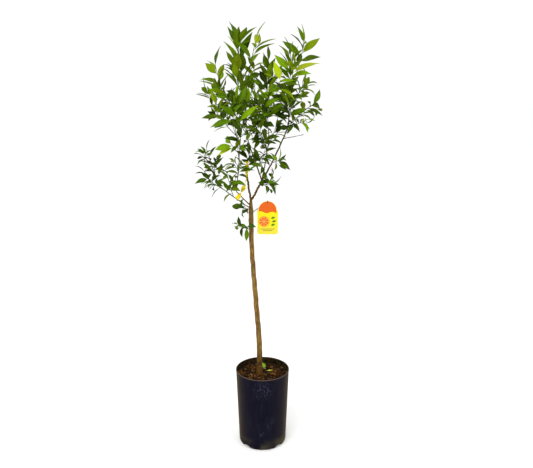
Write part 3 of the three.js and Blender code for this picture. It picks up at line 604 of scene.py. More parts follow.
# %% Trunk and limbs: driving numbers
TRUNK_FORK = np.array([-44, 0, 1036])
TRUNK_SWAY = (4.8, 4)
TRUNK_STEPS = 40
TRUNK_GIRTH = [
    (294.8, 14.0), (302, 13.2), (318, 12.4), (345, 11.8), (390, 11.2), (440, 10.8), (500, 10.4), (550, 10.2),
    (600, 10.1), (650, 9.9), (700, 9.7), (750, 9.4), (800, 9.2), (850, 9.0), (905, 9.2), (940, 9.2),
    (957, 9.9), (975, 9.1), (1003, 9.2), (1013, 6.8), (1036, 5.4),
]
LIMB_STEPS = 8
LIMBS = {
    "right_bough": ("trunk", 1, (-1, -12, 1118), 4.4, 3.8, 0.06),
    "central_bough": ("trunk", 1, (-62, 6, 1158), 4.1, 3.4, 0.04),
    "right_upper_bough": ("right_bough", 1, (100, 5, 1325), 3.3, 2.3, 0.1),
    "inner_left_bough": ("right_bough", 1, (-54, 25, 1265), 2.8, 2, 0.03),
    "inner_right_bough": ("right_bough", 1, (26, -40, 1275), 2.4, 1.8, 0.08),
    "left_inner_bough": ("trunk", 0.972, (-99, -18, 1076), 2.4, 1.9, 0.02),
    "left_rising_bough": ("left_inner_bough", 1, (-83, -35, 1252), 1.8, 1.4, 0.12),
    "left_low_bough": ("trunk", 0.958, (-168, 20, 1091), 2.2, 1.5, 0.03),
    "side_twig": ("right_upper_bough", 0.8, (159, 30, 1289), 1.4, 1.1, 0.02),
    "right_leader": ("right_upper_bough", 1, (104, -5, 1470), 2.1, 1.5, 0.04),
    "left_leader": ("inner_left_bough", 1, (-70, 30, 1440), 1.9, 1.4, 0.04),
    "middle_leader": ("inner_right_bough", 1, (18, -15, 1430), 1.7, 1.2, 0.04),
    "left_arm": ("left_rising_bough", 1, (-128, -30, 1392), 1.3, 1, 0.06),
    "front_bough": ("left_rising_bough", 0.75, (-92, -92, 1300), 1.4, 1.1, 0.12),
    "back_bough": ("inner_left_bough", 0.6, (-20, 105, 1310), 1.9, 1.3, 0.15),
}
print("boughs:", len(LIMBS))

# %% Centre lines
def along(line, share):
    """The place at a share of a line of evenly spaced points, and the heading there."""
    k = share * (len(line) - 1)
    i = min(math.floor(k), len(line) - 2)
    step = line[i + 1] - line[i]
    return line[i] + step * (k - i), unit(step)


def bowed(start, tip, sag, steps):
    """A curve whose belly sags, so that it leaves low and turns up."""
    tip = np.array(tip, float)
    belly = (start + tip) / 2 - UP * sag * math.dist(start, tip)
    shares = np.linspace(0, 1, steps + 1)[:, None]
    return start * (1 - shares) ** 2 + belly * 2 * shares * (1 - shares) + tip * shares**2


def trunk_point(share):
    sideways = TRUNK_SWAY[0] * math.sin(2 * math.pi * share)
    fore_and_aft = TRUNK_SWAY[1] * math.sin(3 * math.pi * share)
    return TRUNK_FOOT + (TRUNK_FORK - TRUNK_FOOT) * share + np.array([sideways, fore_and_aft, 0])


def trunk_share(height):
    return (height - TRUNK_FOOT[2]) / (TRUNK_FORK[2] - TRUNK_FOOT[2])


def look_up(table, value):
    """Reads a table of pairs, in between its rows too."""
    return float(np.interp(value, *zip(*table)))


def trunk_radius(height):
    return look_up(TRUNK_GIRTH, height)


def limb_radius(name, line, share):
    if name == "trunk":
        return trunk_radius(along(line, share)[0][2])
    foot, tip = LIMBS[name][3:5]
    return foot + (tip - foot) * share


limb_lines = {"trunk": np.array([trunk_point(i / TRUNK_STEPS) for i in range(TRUNK_STEPS + 1)])}
for name, (host, at, tip, _, _, sag) in LIMBS.items():
    limb_lines[name] = bowed(along(limb_lines[host], at)[0], tip, sag, LIMB_STEPS)
print("limbs:", len(limb_lines), "lowest foot at", round(float(TRUNK_FOOT[2]), 1), "mm")

# %% [markdown]
# ## Trunk and boughs
# The trunk is drawn up ring by ring like the pot, along the centre line with its girth, and takes the small
# bends of a millimetre or two that growth left, which the plain model leaves out. Old side shoots were cut
# away, and each left a healed knot. Boughs are curves with a round bevel that thins towards the tip. A
# voxel remesh then melts trunk, knots and boughs into one skin, so that each fork gets its natural web, and
# a smooth modifier rounds what the voxels left. That takes a little off, which the radius makes up for. A
# bend is a height and a shift, and a knot is a height, an angle round the stem and a size.

# %% Trunk: drawn up ring by ring
TRUNK_RING_STEP = 6
TRUNK_SIDES = 32
TRUNK_SUNK = 3
SHRINK_ALLOWANCE = 0.3
TRUNK_BENDS = (
    (340, 0), (400, 0.8), (440, 0.8), (476, -0.4), (513, 0.4), (537, -1.8), (573, -1.0), (609, -2.4),
    (634, -0.6), (682, -1.5), (706, 0.3), (730, -1.6), (779, 0.2), (803, -1.8), (840, -0.4), (876, -1.6),
    (920, 0),
)


def stem_point(height):
    """The middle of the trunk at a height, with its small bends."""
    return trunk_point(trunk_share(height)) + np.array([look_up(TRUNK_BENDS, height), 0, 0])


def stem_radius(height):
    return trunk_radius(height) + SHRINK_ALLOWANCE


heights = np.arange(TRUNK_FOOT[2] - TRUNK_SUNK, TRUNK_FORK[2], TRUNK_RING_STEP)
trunk = drawn_up([stem_point(h) for h in heights], [stem_radius(h) for h in heights], TRUNK_SIDES)
print("trunk rings:", len(heights))

# %% Knots and root flare
KNOTS = (
    (956, 200, 7.2), (783, 20, 6.2), (666, 160, 6), (575, 330, 5.6), (465, 190, 6.6), (385, 10, 6.2),
    (1006, 250, 7.6),
)
FLARE_ROOTS = ((15, 12.5), (105, 12), (190, 13), (285, 12.5))
FLARE_RISE = 26
BUMP_DEPTH = 0.55
KNOT_SHAPE = np.array([0.8, 0.8, 1.25])
ROOT_SHAPE = np.array([0.62, 0.34, 0.6])


def blob(place, size, lean=0):
    """A small ball, scaled to an egg, as the start of a knot or root."""
    deselect()
    bpy.ops.mesh.primitive_ico_sphere_add(subdivisions=3, radius=MM, location=place * MM)
    egg = bpy.context.object
    egg.scale = size
    egg.rotation_euler = (0, 0, lean)
    bpy.ops.object.transform_apply(location=True, rotation=True, scale=True)
    return egg


bumps = []
for height, angle, size in KNOTS:
    centre = stem_point(height) + way(math.radians(angle)) * trunk_radius(height) * BUMP_DEPTH
    bumps.append(blob(centre, size * KNOT_SHAPE))
for angle, reach in FLARE_ROOTS:
    lean = math.radians(angle)
    centre = trunk_point(0) + way(lean) * reach * BUMP_DEPTH
    bumps.append(blob(centre, np.array([reach, reach, FLARE_RISE]) * ROOT_SHAPE, lean))
print("knots and roots:", len(bumps))

# %% Boughs: bevelled curves
BOUGH_POINTS = 28
KINK = 0.35


def kinked(line, radii, seed):
    """A smooth line with the slight change of direction that each old leaf left."""
    draw = seeded(seed)
    points = np.array([along(line, k / (BOUGH_POINTS - 1))[0] for k in range(BOUGH_POINTS)])
    for k in range(2, BOUGH_POINTS - 1):
        points[k] += np.array([draw(-1, 1), draw(-1, 1), 0]) * KINK * radii[k]
    return points


def round_curve(points, radii, segments, closed=False):
    """A curve with a round section, its radius given at every point. A closed one runs smoothly round."""
    deselect()
    bpy.ops.curve.primitive_bezier_curve_add(location=(0, 0, 0))
    curve = bpy.context.object.data
    curve.splines.clear()
    spline = curve.splines.new("NURBS" if closed else "POLY")
    spline.points.add(len(points) - 1)
    for knot, point, radius in zip(spline.points, points, radii):
        knot.co = (*(point * MM), 1)
        knot.radius = radius
    if closed:
        spline.use_cyclic_u = True
        spline.order_u = 3
        spline.resolution_u = 6
    curve.bevel_depth = MM
    curve.bevel_resolution = segments
    curve.use_fill_caps = True
    bpy.ops.object.convert(target="MESH")
    return bpy.context.object


boughs = []
for index, (name, line) in enumerate(limb_lines.items()):
    if name == "trunk":
        continue
    shares = np.linspace(0, 1, BOUGH_POINTS)
    radii = [limb_radius(name, line, share) + SHRINK_ALLOWANCE for share in shares]
    boughs.append(round_curve(kinked(line, radii, index), radii, 4))
join(trunk, *bumps, *boughs)
print("wood before the remesh:", len(trunk.data.polygons), "faces")

# %% One skin
VOXEL = 1.1
apply_modifier(trunk, "REMESH", mode="VOXEL", voxel_size=VOXEL * MM)
apply_modifier(trunk, "SMOOTH", factor=0.5, iterations=3)
print("wood after the remesh:", len(trunk.data.polygons), "faces")

# %% [markdown]
# ### Bark relief
# Young citrus bark is smooth and golden brown, with shallow lengthwise cracks and darker streaks. The relief
# is real geometry: a displace modifier moves the skin by a cloud texture, and the texture is read through an
# empty that is stretched upwards, so the cracks run along the stem. The empty goes once that is applied.

# %% Bark: displaced geometry
CRACKS = (5, 7, 0.9)
SWELLINGS = (16, 2.5, 1.0)


def displace(obj, size, stretch, depth):
    """Moves a skin by a cloud texture of a size in millimetres that is stretched upwards."""
    deselect()
    bpy.ops.object.empty_add(scale=(1, 1, stretch))
    guide = bpy.context.object
    bpy.context.view_layer.update()
    clouds = bpy.data.textures.new("relief", "CLOUDS")
    clouds.noise_scale = size * MM
    clouds.noise_depth = 3
    settings = {"mid_level": 0.55, "texture_coords": "OBJECT", "texture_coords_object": guide}
    apply_modifier(obj, "DISPLACE", texture=clouds, strength=depth * MM, **settings)
    bpy.data.objects.remove(guide)


for relief in (CRACKS, SWELLINGS):
    displace(trunk, *relief)
smooth(trunk)
print("bark relief applied")

# %% [markdown]
# ### Young citrus bark
# The stem is golden brown with fine darker streaks and dull blotches, drawn out upwards as the bark grew.
# The boughs are browner, and the youngest wood is still green. At the foot the bark is damp, and rain has
# splashed dark earth on it just above the soil. The bark is almost without gloss.

# %% Bark: finish
STREAKS = (3.2, 4, (1, 1, 6))
bark = Finish("young citrus bark", 0.8, "#523c16", Specular_IOR_Level=0.08)
bark.paint("#92713a", bark.blotches(0.38, 0.66, *STREAKS))
bark.paint("#38260f", bark.blotches(0.5, 0.66, 22, 3, (1, 1, 3)), 0.38)
wood_colours = []
for dark, light in (("#33230a", "#6a4c20"), ("#1e2204", "#474618")):
    layers = {0: bark.blotches(0.35, 0.7, *STREAKS), 6: dark, 7: light}
    wood_colours.append(add_node(bark.tree, "ShaderNodeMix", layers, data_type="RGBA").outputs[2])
brown, green = wood_colours
bark.paint(brown, bark.rise_along("Z", 0.99, 1.05))
ends = {0: bark.rise_along("Z", 1.15, 1.30), 1: bark.rise_along("X", -0.056, -0.076)}
bark.paint(green, add_node(bark.tree, "ShaderNodeMath", ends, operation="MAXIMUM").outputs[0])
bark.paint("#4a2c06", bark.rise_along("Z", 0.42, 0.30), 0.75)
above_soil, below_dry = bark.rise_along("Z", 0.325, 0.345), bark.rise_along("Z", 0.41, 0.37)
bark.paint("#1d1305", below_dry, above_soil, bark.blotches(0.46, 0.56, 5, 3, (1, 1, 0.7)), 0.8)
bark.relief(0.35, 1.2, 2, (1, 1, 3))
finish_piece(trunk, "trunk_and_boughs", [bark.material], list(limb_lines))

# %% [markdown]
# ## The growing rule
# A spray of leaves is one stem on a limb, some side twigs, and leaves that follow each other round the twig
# by the golden angle. The rule is that of the model's source, draw for draw: all stems and side twigs come
# first, then every twig tries to set its leaves, and a leaf that comes too near a limb, another spray or
# the tag is turned on and tried again, up to six times.
#
# A spray's row holds its host and the share of it, the tip of the stem, the share of the stem that stays
# bare, the number of leaves and their length, the number of side twigs and their length, the lift and droop
# of a leaf in degrees, the tone, the turn of the first leaf, and the stem's sag where it is unusual. The
# tone is painted shade and light: dark for sprays deep in the crown, bright for the lit ones outside.

# %% Sprays: driving numbers
# The tone column is painted light and shade: dark for sprays deep in the crown, bright for lit outer ones.
SPRAYS = {
    "top_left": ("left_leader", 1, (-90, 22, 1636), 0.04, 12, 92, 0, 0, 27, 20, "mid", 287, 0.06),
    "top_left_low": ("left_leader", 0.7, (-104, 5, 1545), 0.35, 8, 84, 1, 60, 32, 22, "mid", 150),
    "top_middle": ("left_leader", 0.9, (-22, -8, 1640), 0.28, 9, 84, 0, 0, 42, 34, "bright", 215, 0),
    "middle": ("middle_leader", 1, (24, 20, 1562), 0.1, 9, 72, 0, 0, 28, 20, "dark", 60),
    "middle_front": ("middle_leader", 0.7, (68, -66, 1492), 0.68, 6, 78, 0, 0, 92, 30, "bright", 32, 0.25),
    "right_crown": ("right_leader", 1, (104, -15, 1590), 0.1, 12, 66, 0, 0, 32, 24, "mid", 330),
    "right_light": ("right_leader", 0.85, (116, -55, 1545), 0.55, 4, 104, 0, 0, 44, 26, "bright", 20, 0),
    "right_top": ("right_leader", 0.75, (156, 40, 1620), 0.6, 6, 84, 0, 0, 50, 22, "mid", 85),
    "right_outer": ("right_leader", 0.4, (160, 20, 1490), 0.4, 9, 58, 1, 45, 48, 45, "mid", 10),
    "right_hang": ("right_upper_bough", 0.97, (190, -15, 1405), 0.45, 8, 62, 0, 0, 52, 55, "mid", 120, -0.1),
    "right_star": (
        "right_upper_bough", 0.92, (168, -40, 1352), 0.6, 5, 42, 0, 0, 60, 30, "bright", 50, -0.05,
    ),
    "right_dense": ("right_upper_bough", 0.9, (108, -60, 1405), 0.15, 11, 74, 2, 60, 50, 40, "dark", 70),
    "right_back": ("right_leader", 0.2, (92, 125, 1465), 0.25, 11, 68, 2, 70, 50, 35, "dark", 15),
    "centre_front": ("middle_leader", 0.3, (6, -95, 1405), 0.25, 11, 73, 2, 60, 50, 40, "dark", 112),
    "left_front": ("left_leader", 0.3, (-96, -60, 1435), 0.2, 11, 76, 2, 60, 46, 35, "mid", 90),
    "left_upper": ("left_arm", 1, (-170, -30, 1544), 0.3, 9, 76, 0, 0, 44, 26, "mid", 175),
    "left_outer": ("left_arm", 0.6, (-212, 20, 1462), 0.35, 10, 54, 1, 45, 34, 26, "mid", 60),
    "left_mid": ("left_arm", 0.3, (-190, 40, 1395), 0.3, 10, 56, 1, 45, 48, 40, "dark", 30),
    "low_front": ("front_bough", 1, (-104, -116, 1364), 0.75, 2, 80, 0, 0, 80, 26, "mid", 0),
    "low_front_right": ("front_bough", 0.85, (-80, -125, 1352), 0.75, 2, 92, 0, 0, 96, 34, "mid", 185),
    "left_back": ("left_leader", 0.12, (-135, 120, 1420), 0.3, 11, 66, 2, 60, 50, 35, "dark", 45),
    "back_low": ("back_bough", 1, (-10, 165, 1400), 0.1, 11, 64, 2, 60, 52, 35, "dark", 130),
    "back_top": ("back_bough", 0.75, (-30, 105, 1530), 0.3, 11, 74, 1, 60, 44, 35, "mid", 210),
    "mid_low": ("inner_right_bough", 0.75, (-6, -20, 1310), 0.1, 9, 58, 2, 50, 52, 60, "dark", 170),
    "mid_right": ("inner_right_bough", 0.85, (52, -35, 1325), 0.15, 7, 50, 1, 45, 50, 45, "dark", 20),
    "bough_side": ("right_upper_bough", 0.38, (66, -30, 1200), 0.3, 7, 50, 0, 0, 52, 45, "mid", 350),
    "inner_low": ("inner_right_bough", 0.3, (-12, -60, 1215), 0.25, 10, 56, 1, 45, 50, 50, "dark", 100),
    "fork": ("right_bough", 0.85, (36, -30, 1105), 0.15, 9, 50, 1, 35, 56, 55, "dark", 300),
    "central": ("central_bough", 1, (-48, 24, 1222), 0.15, 11, 54, 1, 40, 50, 40, "dark", 45),
    "left_inner": ("left_rising_bough", 0.92, (-76, -70, 1318), 0.1, 10, 60, 2, 46, 52, 60, "dark", 320),
    "rising": ("left_rising_bough", 0.85, (-122, -40, 1270), 0.35, 5, 60, 0, 0, 60, 40, "lime", 220),
    "left_between": ("left_rising_bough", 0.35, (-84, -40, 1190), 0.2, 9, 55, 1, 44, 50, 50, "mid", 256),
    "low_left_out": ("left_low_bough", 1, (-213, 10, 1236), 0.2, 9, 50, 2, 46, 50, 40, "dark", 140),
    "low_left": ("left_low_bough", 0.86, (-214, -30, 1134), 0.15, 10, 52, 2, 46, 50, 50, "dark", 15),
    "low_inner": ("left_low_bough", 0.55, (-132, -45, 1148), 0.15, 10, 64, 1, 44, 55, 45, "mid", 60),
    "trunk_top": ("trunk", 0.955, (-84, -20, 1012), 0.1, 7, 40, 0, 0, 60, 50, "dark", 200, 0),
    "trunk_shoot": ("trunk", 0.875, (-66, -14, 932), 0.3, 5, 54, 0, 0, 70, 60, "dark", 330),
}
print("sprays:", len(SPRAYS))

# %% Sizes of twigs and leaves
STEM_FOOT_RADIUS = 1
STEM_TIP_RADIUS = 0.8
STEM_LENGTH_PER_RADIUS = 400
STEM_STEPS = 5
STEM_SAG = 0.08
ARM_RADIUS = (1.1, 0.8)
ARM_STEPS = 3
ARM_SAG = 0.1
ARM_AHEAD = 0.75
ARM_ASIDE = 0.66
ARM_RISE = 0.12
ARMS_END = 0.85
ARM_FIRST_TURN = 1.9
ARM_NEXT_TURN = 2.4
ARM_BARE = 0.25
ARM_LEAF_SPACING = 11
ARM_LENGTH_SPREAD = (0.85, 1.15)
SMALL_LEAF_SHARE = 0.82
LEAF_SIZE_SPREAD = (0.85, 1.12)
DROOP_SPREAD = (0.7, 1.4)
WIDTH_SHARE = (0.26, 0.38)
PETIOLE_SHARE = 0.08
BLADE_WIDEST = 0.82
BLADE_POINTED = 1.2
GOLDEN_ANGLE = 137.5
TWIG_TURN = 1.1
TURN_SPREAD = (-0.2, 0.2)
ROLL_RANGE = (20, 65)
SKY_PULL = 0.35
LAST_LEAF_AT = 0.985
LAST_LEAF_LIFT = 0.45
ROOM_BETWEEN = 7
ROOM_WITHIN = 4.5
ROOM_AT_LIMB = 4
PROBE_STEP = 6
CARD_PROBE_STEP = 10
NEAR_ROOT = 0.1
FROM_TWIG = 0.3
TRIES = 6
NEXT_TURN = 1.7
NEXT_SHRINK = 0.06
REACH = 190
SEARCH_REACH = 20
print("a stem is", 2 * STEM_TIP_RADIUS, "mm thick at its tip")

# %% A leaf in space
def square_to(heading):
    """Two directions square to a heading and to each other."""
    helper = np.array([0.0, 1, 0]) if abs(heading[1]) < 0.9 else np.array([1.0, 0, 0])
    a = unit(np.cross(heading, helper))
    return a, np.cross(heading, a)


def aside(heading, angle):
    """The direction square to a heading, at an angle round it."""
    a, b = square_to(heading)
    return a * math.cos(angle) + b * math.sin(angle)


def turned(v, axis, angle):
    c, s = math.cos(angle), math.sin(angle)
    return v * c + np.cross(axis, v) * s + axis * (axis @ v) * (1 - c)


def leaf_at(root, heading, turn, lift, length, width, droop, roll):
    """Where a leaf leaves its twig, its direction, its upper side and its measures."""
    out = aside(heading, turn)
    ahead = unit(heading * math.cos(lift) + out * math.sin(lift))
    up = heading * math.sin(lift) - out * math.cos(lift) + UP * SKY_PULL
    up = turned(unit(up - ahead * (up @ ahead)), ahead, roll)
    side = np.cross(ahead, up)
    return {
        "root": root, "ahead": ahead, "up": up, "side": side,
        "length": length, "width": width, "droop": droop,
    }


def rib_points(leaf, shares):
    """Points on the midrib, which bends down evenly through the angle of droop."""
    angle = (leaf["droop"] * shares)[:, None]
    bend = leaf["ahead"] * np.sin(angle) + leaf["up"] * (np.cos(angle) - 1)
    return leaf["root"] + bend * leaf["length"] / leaf["droop"]


def blade_share(shares):
    """Width of the blade along the leaf, as a share of its greatest width."""
    s = np.clip((shares - PETIOLE_SHARE) / (1 - PETIOLE_SHARE), 0, 1)
    return np.sin(math.pi * s**BLADE_WIDEST) ** BLADE_POINTED


def probes_of(leaf, start):
    """Points on the rib and both edges, from a share of the length to the tip."""
    count = math.ceil(leaf["length"] / PROBE_STEP)
    shares = start + (1 - start) * np.arange(count + 1) / count
    middle = rib_points(leaf, shares)
    half = (0.5 * leaf["width"] * blade_share(shares))[:, None] * leaf["side"]
    return np.vstack([middle, middle + half, middle - half])


def points_on(line):
    count = math.ceil(math.dist(line[-1], line[0]) / PROBE_STEP)
    return np.array([along(line, i / count)[0] for i in range(count + 1)])


print("width of the blade half way, as a share:", round(float(blade_share(0.5)), 2))

# %% What is in the way
class Room:
    """Points that growth keeps clear of, each with its distance and the spray that it belongs to."""

    def __init__(self):
        self.points, self.rooms, self.owners = np.zeros((0, 3)), np.zeros(0), []

    def put(self, points, room, owner=None):
        points = np.asarray(points, float).reshape(-1, 3)
        self.points = np.vstack([self.points, points])
        self.rooms = np.concatenate([self.rooms, np.broadcast_to(room, len(points))])
        self.owners += [owner] * len(points)

    def crowds(self, probes, owner="nobody"):
        low, high = probes.min(0) - SEARCH_REACH, probes.max(0) + SEARCH_REACH
        near = np.flatnonzero(((self.points > low) & (self.points < high)).all(1))
        near = [i for i in near if self.owners[i] != owner]
        gaps = ((probes[:, None] - self.points[near]) ** 2).sum(2)
        return bool((gaps < self.rooms[near] ** 2).any())


print("an empty room crowds a point:", Room().crowds(np.zeros((1, 3))))

# %% [markdown]
# The tag, its tie and the strip label hang in the crown too. Their lines are needed now, because leaves keep
# clear of them, and again later, when these pieces are made.

# %% Tag, tie and strip: lines
TAG_LEFT, TAG_RIGHT = -19.4, 61.3
TAG_BOTTOM, TAG_SHOULDER, TAG_TOP = 905.6, 1002.5, 1038
TAG_FRONT = -15.4
TAG_THICK = 1.2
TAG_CORNER = 9
TAB_INSET = 5
HOLE_RADIUS = 2.6
HOLE_BELOW_TOP = 11
TIE_RADIUS = 0.9
TIE_HEIGHT = 988
STRIP_WIDTH = 11
STRIP_THICK = 0.8
STRIP_UP = np.array([1, -5, 50])
STRIP_DOWN = np.array([-38, -32, -90])
STRIP_STEPS = 6
COLLAR_AT = 0.86
COLLAR_HEIGHT = 9
tag_middle = (TAG_LEFT + TAG_RIGHT) / 2


def tie_line():
    """Round the trunk, behind the card, through its hole and over its top edge."""
    cx, cy, _ = trunk_point(trunk_share(TIE_HEIGHT))
    clear = TIE_RADIUS + GAP
    around = trunk_radius(TIE_HEIGHT) + clear + 0.2
    line = []
    for angle in np.radians(np.arange(70, 290.1, 27.5)):
        line.append([cx + around * math.cos(angle), cy + around * math.sin(angle), TIE_HEIGHT])
    hole_top = TAG_TOP - HOLE_BELOW_TOP + HOLE_RADIUS - clear
    back = TAG_FRONT + TAG_THICK + clear
    front = TAG_FRONT - clear
    line += [
        [tag_middle - 12, back + 0.6, hole_top - 4],
        [tag_middle, back, hole_top],
        [tag_middle, front, hole_top],
        [tag_middle, front, TAG_TOP + clear],
        [tag_middle, back, TAG_TOP + clear],
        [tag_middle - 16, back + 5, TAG_TOP - 14],
    ]
    return np.array(line)


central = limb_lines["central_bough"]
collar_centre, collar_heading = along(central, COLLAR_AT)
collar_radius = limb_radius("central_bough", central, COLLAR_AT) + GAP + STRIP_THICK
strip_root = collar_centre - np.array([0, collar_radius, 0])


def strip_point(share):
    """From -1 at the upper end, past 0 at the collar, to 1 at the lower end."""
    reach = STRIP_UP if share < 0 else STRIP_DOWN
    k = abs(share)
    return strip_root + reach * np.array([k * k, k, k])


print("the strip starts at", strip_root.round(1), "and ends at", strip_point(1).round(1))

# %% The rule
def twigs_of(name, row, draw, room):
    """The stem of a spray and its side twigs."""
    host, at, tip, bare, count, leaf_length, arms, arm_length, lift, droop, tone, turn, *rest = row
    sag = rest[0] if rest else STEM_SAG
    start = along(limb_lines[host], at)[0]
    stem = bowed(start, tip, sag, STEM_STEPS)
    foot_radius = STEM_FOOT_RADIUS + math.dist(tip, start) / STEM_LENGTH_PER_RADIUS
    twigs = [(stem, (foot_radius, STEM_TIP_RADIUS), count, bare, leaf_length)]
    for j in range(arms):
        p, heading = along(stem, bare + (ARMS_END - bare) * (j + 0.5) / arms)
        out = aside(heading, math.radians(turn) + ARM_FIRST_TURN + j * ARM_NEXT_TURN)
        reach = arm_length * draw(*ARM_LENGTH_SPREAD)
        ahead = unit(heading * ARM_AHEAD + out * ARM_ASIDE) * reach
        line = bowed(p, p + ahead + UP * ARM_RISE * reach, ARM_SAG, ARM_STEPS)
        if not room.crowds(points_on(line), name):
            leaves = max(3, math.floor(reach / ARM_LEAF_SPACING + 0.5))
            twigs.append((line, ARM_RADIUS, leaves, ARM_BARE, leaf_length * SMALL_LEAF_SHARE))
    return {
        "name": name, "tone": tone, "twigs": twigs, "draw": draw,
        "lift": lift, "droop": droop, "turn": math.radians(turn), "leaves": [],
    }


def set_leaf(spray, twig, i, m, room, own_room=ROOM_WITHIN, within=lambda tip: True):
    """Tries to set leaf m of twig i. Leaves are largest midway, and the last ones point more ahead."""
    line, _, count, bare, leaf_length = twig
    draw, own = spray["draw"], spray["own"]
    is_last = m == count - 1
    share = (m + 0.6) / count
    p, heading = along(line, LAST_LEAF_AT if is_last else bare + (1 - bare) * share)
    swell = 0.72 + 0.42 * math.sin(math.pi * (0.15 + 0.7 * share))
    full = leaf_length * swell * draw(*LEAF_SIZE_SPREAD)
    slim = draw(*WIDTH_SHARE)
    rise = math.radians(spray["lift"]) * (1.2 - 0.45 * share) * (LAST_LEAF_LIFT if is_last else 1)
    bend = math.radians(spray["droop"]) * draw(*DROOP_SPREAD)
    lean = draw(-1, 1)
    tilt = ROLL_RANGE[0] + (ROLL_RANGE[1] - ROLL_RANGE[0]) * abs(lean)
    roll = math.radians(math.copysign(tilt, lean))
    # Each new try turns the leaf on and makes it a little shorter, and the first with room stays.
    for attempt in range(TRIES):
        golden = (m + attempt * NEXT_TURN) * math.radians(GOLDEN_ANGLE)
        around = spray["turn"] + golden + i * TWIG_TURN + draw(*TURN_SPREAD)
        length = full * (1 - NEXT_SHRINK * attempt)
        leaf = leaf_at(p, heading, around, rise, length, length * slim, bend, roll)
        tip = rib_points(leaf, np.array([1.0]))[0]
        if math.dist(tip, spray["middle"]) > REACH or not within(tip):
            continue
        if room.crowds(probes_of(leaf, NEAR_ROOT), spray["name"]):
            continue
        if own.crowds(probes_of(leaf, FROM_TWIG)):
            continue
        own.put(probes_of(leaf, FROM_TWIG), own_room)
        spray["leaves"].append(leaf)
        return


def standing_room():
    """The limbs, the card, the tie and the strip label."""
    room = Room()
    card = [
        [x, TAG_FRONT, z]
        for x in np.arange(TAG_LEFT, TAG_RIGHT, CARD_PROBE_STEP)
        for z in np.arange(TAG_BOTTOM, TAG_TOP, CARD_PROBE_STEP)
    ]
    room.put(card, CARD_PROBE_STEP)
    room.put(tie_line(), TIE_RADIUS + ROOM_WITHIN)
    strip = [strip_point(i / STRIP_STEPS) for i in range(-STRIP_STEPS, STRIP_STEPS + 1)]
    room.put(strip, STRIP_WIDTH + 1)
    for name, line in limb_lines.items():
        points = points_on(line)
        shares = np.linspace(0, 1, len(points))
        room.put(points, [limb_radius(name, line, share) + ROOM_AT_LIMB for share in shares], name)
    return room


print("points that stand in the way:", len(standing_room().points))

# %% Growing the sprays
room = standing_room()
sprays = []
for index, (key, row) in enumerate(SPRAYS.items()):
    spray = twigs_of("foliage_" + key, row, seeded(index + 11), room)
    spray["own"] = Room()
    for twig in spray["twigs"]:
        points = points_on(twig[0])
        room.put(points, ROOM_BETWEEN, spray["name"])
        spray["own"].put(points, ROOM_WITHIN)
    spray["middle"] = along(spray["twigs"][0][0], 0.5)[0]
    sprays.append(spray)
for spray in sprays:
    for i, twig in enumerate(spray["twigs"]):
        for m in range(twig[2]):
            set_leaf(spray, twig, i, m, room)
    for leaf in spray["leaves"]:
        room.put(probes_of(leaf, NEAR_ROOT), ROOM_BETWEEN, spray["name"])
tips = np.vstack([probes_of(leaf, FROM_TWIG) for spray in sprays for leaf in spray["leaves"]])
crown_low, crown_high = tips.min(0), tips.max(0)
print("leaves of the model:", sum(len(spray["leaves"]) for spray in sprays))
print("the crown reaches from", crown_low.round(), "to", crown_high.round())

# %% [markdown]
# ### Finer twigs
# A real spray carries short shoots with small leaves between its large ones. They are grown by the same
# rule, from the stems and side twigs that are there, inside the same reach. The dense, dark parts of the
# crown get more of them, and the open top only a few.

# %% Finer twigs
SHOOTS = {"dark": 3, "mid": 1, "bright": 1, "lime": 0}
MOST_SHOOTS = 3
MOST_SHOOTS_OF_SHORT_LEAVES = 2
SHORT_LEAF = 57
SHOOT_LENGTH = (20, 40)
SHOOT_AHEAD, SHOOT_ASIDE, SHOOT_RISE = 0.6, 0.8, 0.15
SHOOT_RADIUS = (0.75, 0.5)
SHOOT_LEAVES = 3
SHOOT_BARE = 0.3
SHOOTS_END = 0.95
SHOOT_ROOM = 3
CROWN_MARGIN = 5


def in_the_crown(tip):
    """True where a leaf tip stays inside the box that the model's leaves fill."""
    return bool((tip > crown_low + CROWN_MARGIN).all() and (tip < crown_high - CROWN_MARGIN).all())


for index, spray in enumerate(sprays):
    draw = seeded(index + 211)
    spray["draw"] = draw
    shoots = []
    for line, _, _, bare, leaf_length in spray["twigs"]:
        most = MOST_SHOOTS_OF_SHORT_LEAVES if leaf_length < SHORT_LEAF else MOST_SHOOTS
        for _ in range(min(SHOOTS[spray["tone"]], most)):
            p, heading = along(line, bare + (SHOOTS_END - bare) * draw(0.05, 1))
            out = aside(heading, draw(0, 2 * math.pi))
            ahead = unit(heading * SHOOT_AHEAD + out * SHOOT_ASIDE + UP * SHOOT_RISE)
            tip = p + ahead * draw(*SHOOT_LENGTH)
            shoot = bowed(p, tip, ARM_SAG, ARM_STEPS)
            if not room.crowds(points_on(shoot), spray["name"]):
                size = leaf_length * SMALL_LEAF_SHARE
                shoots.append((shoot, SHOOT_RADIUS, SHOOT_LEAVES, SHOOT_BARE, size))
    before = len(spray["leaves"])
    for i, twig in enumerate(shoots):
        for m in range(SHOOT_LEAVES):
            set_leaf(spray, twig, i, m, room, SHOOT_ROOM, in_the_crown)
    for leaf in spray["leaves"][before:]:
        room.put(probes_of(leaf, NEAR_ROOT), ROOM_WITHIN, spray["name"])
    spray["twigs"] += shoots
print("leaves in all:", sum(len(spray["leaves"]) for spray in sprays))

# %% [markdown]
# ## Twigs
# A twig is a thin tube that zigzags a little from leaf to leaf and swells where each leaf is seated. There
# are some hundreds, so their rings are computed as arrays and joined in one mesh.

# %% Twigs: tubes
TWIG_SIDES = 6
TWIG_POINT_STEP = 7
ZIGZAG = 0.4
SWELLING = 1.25


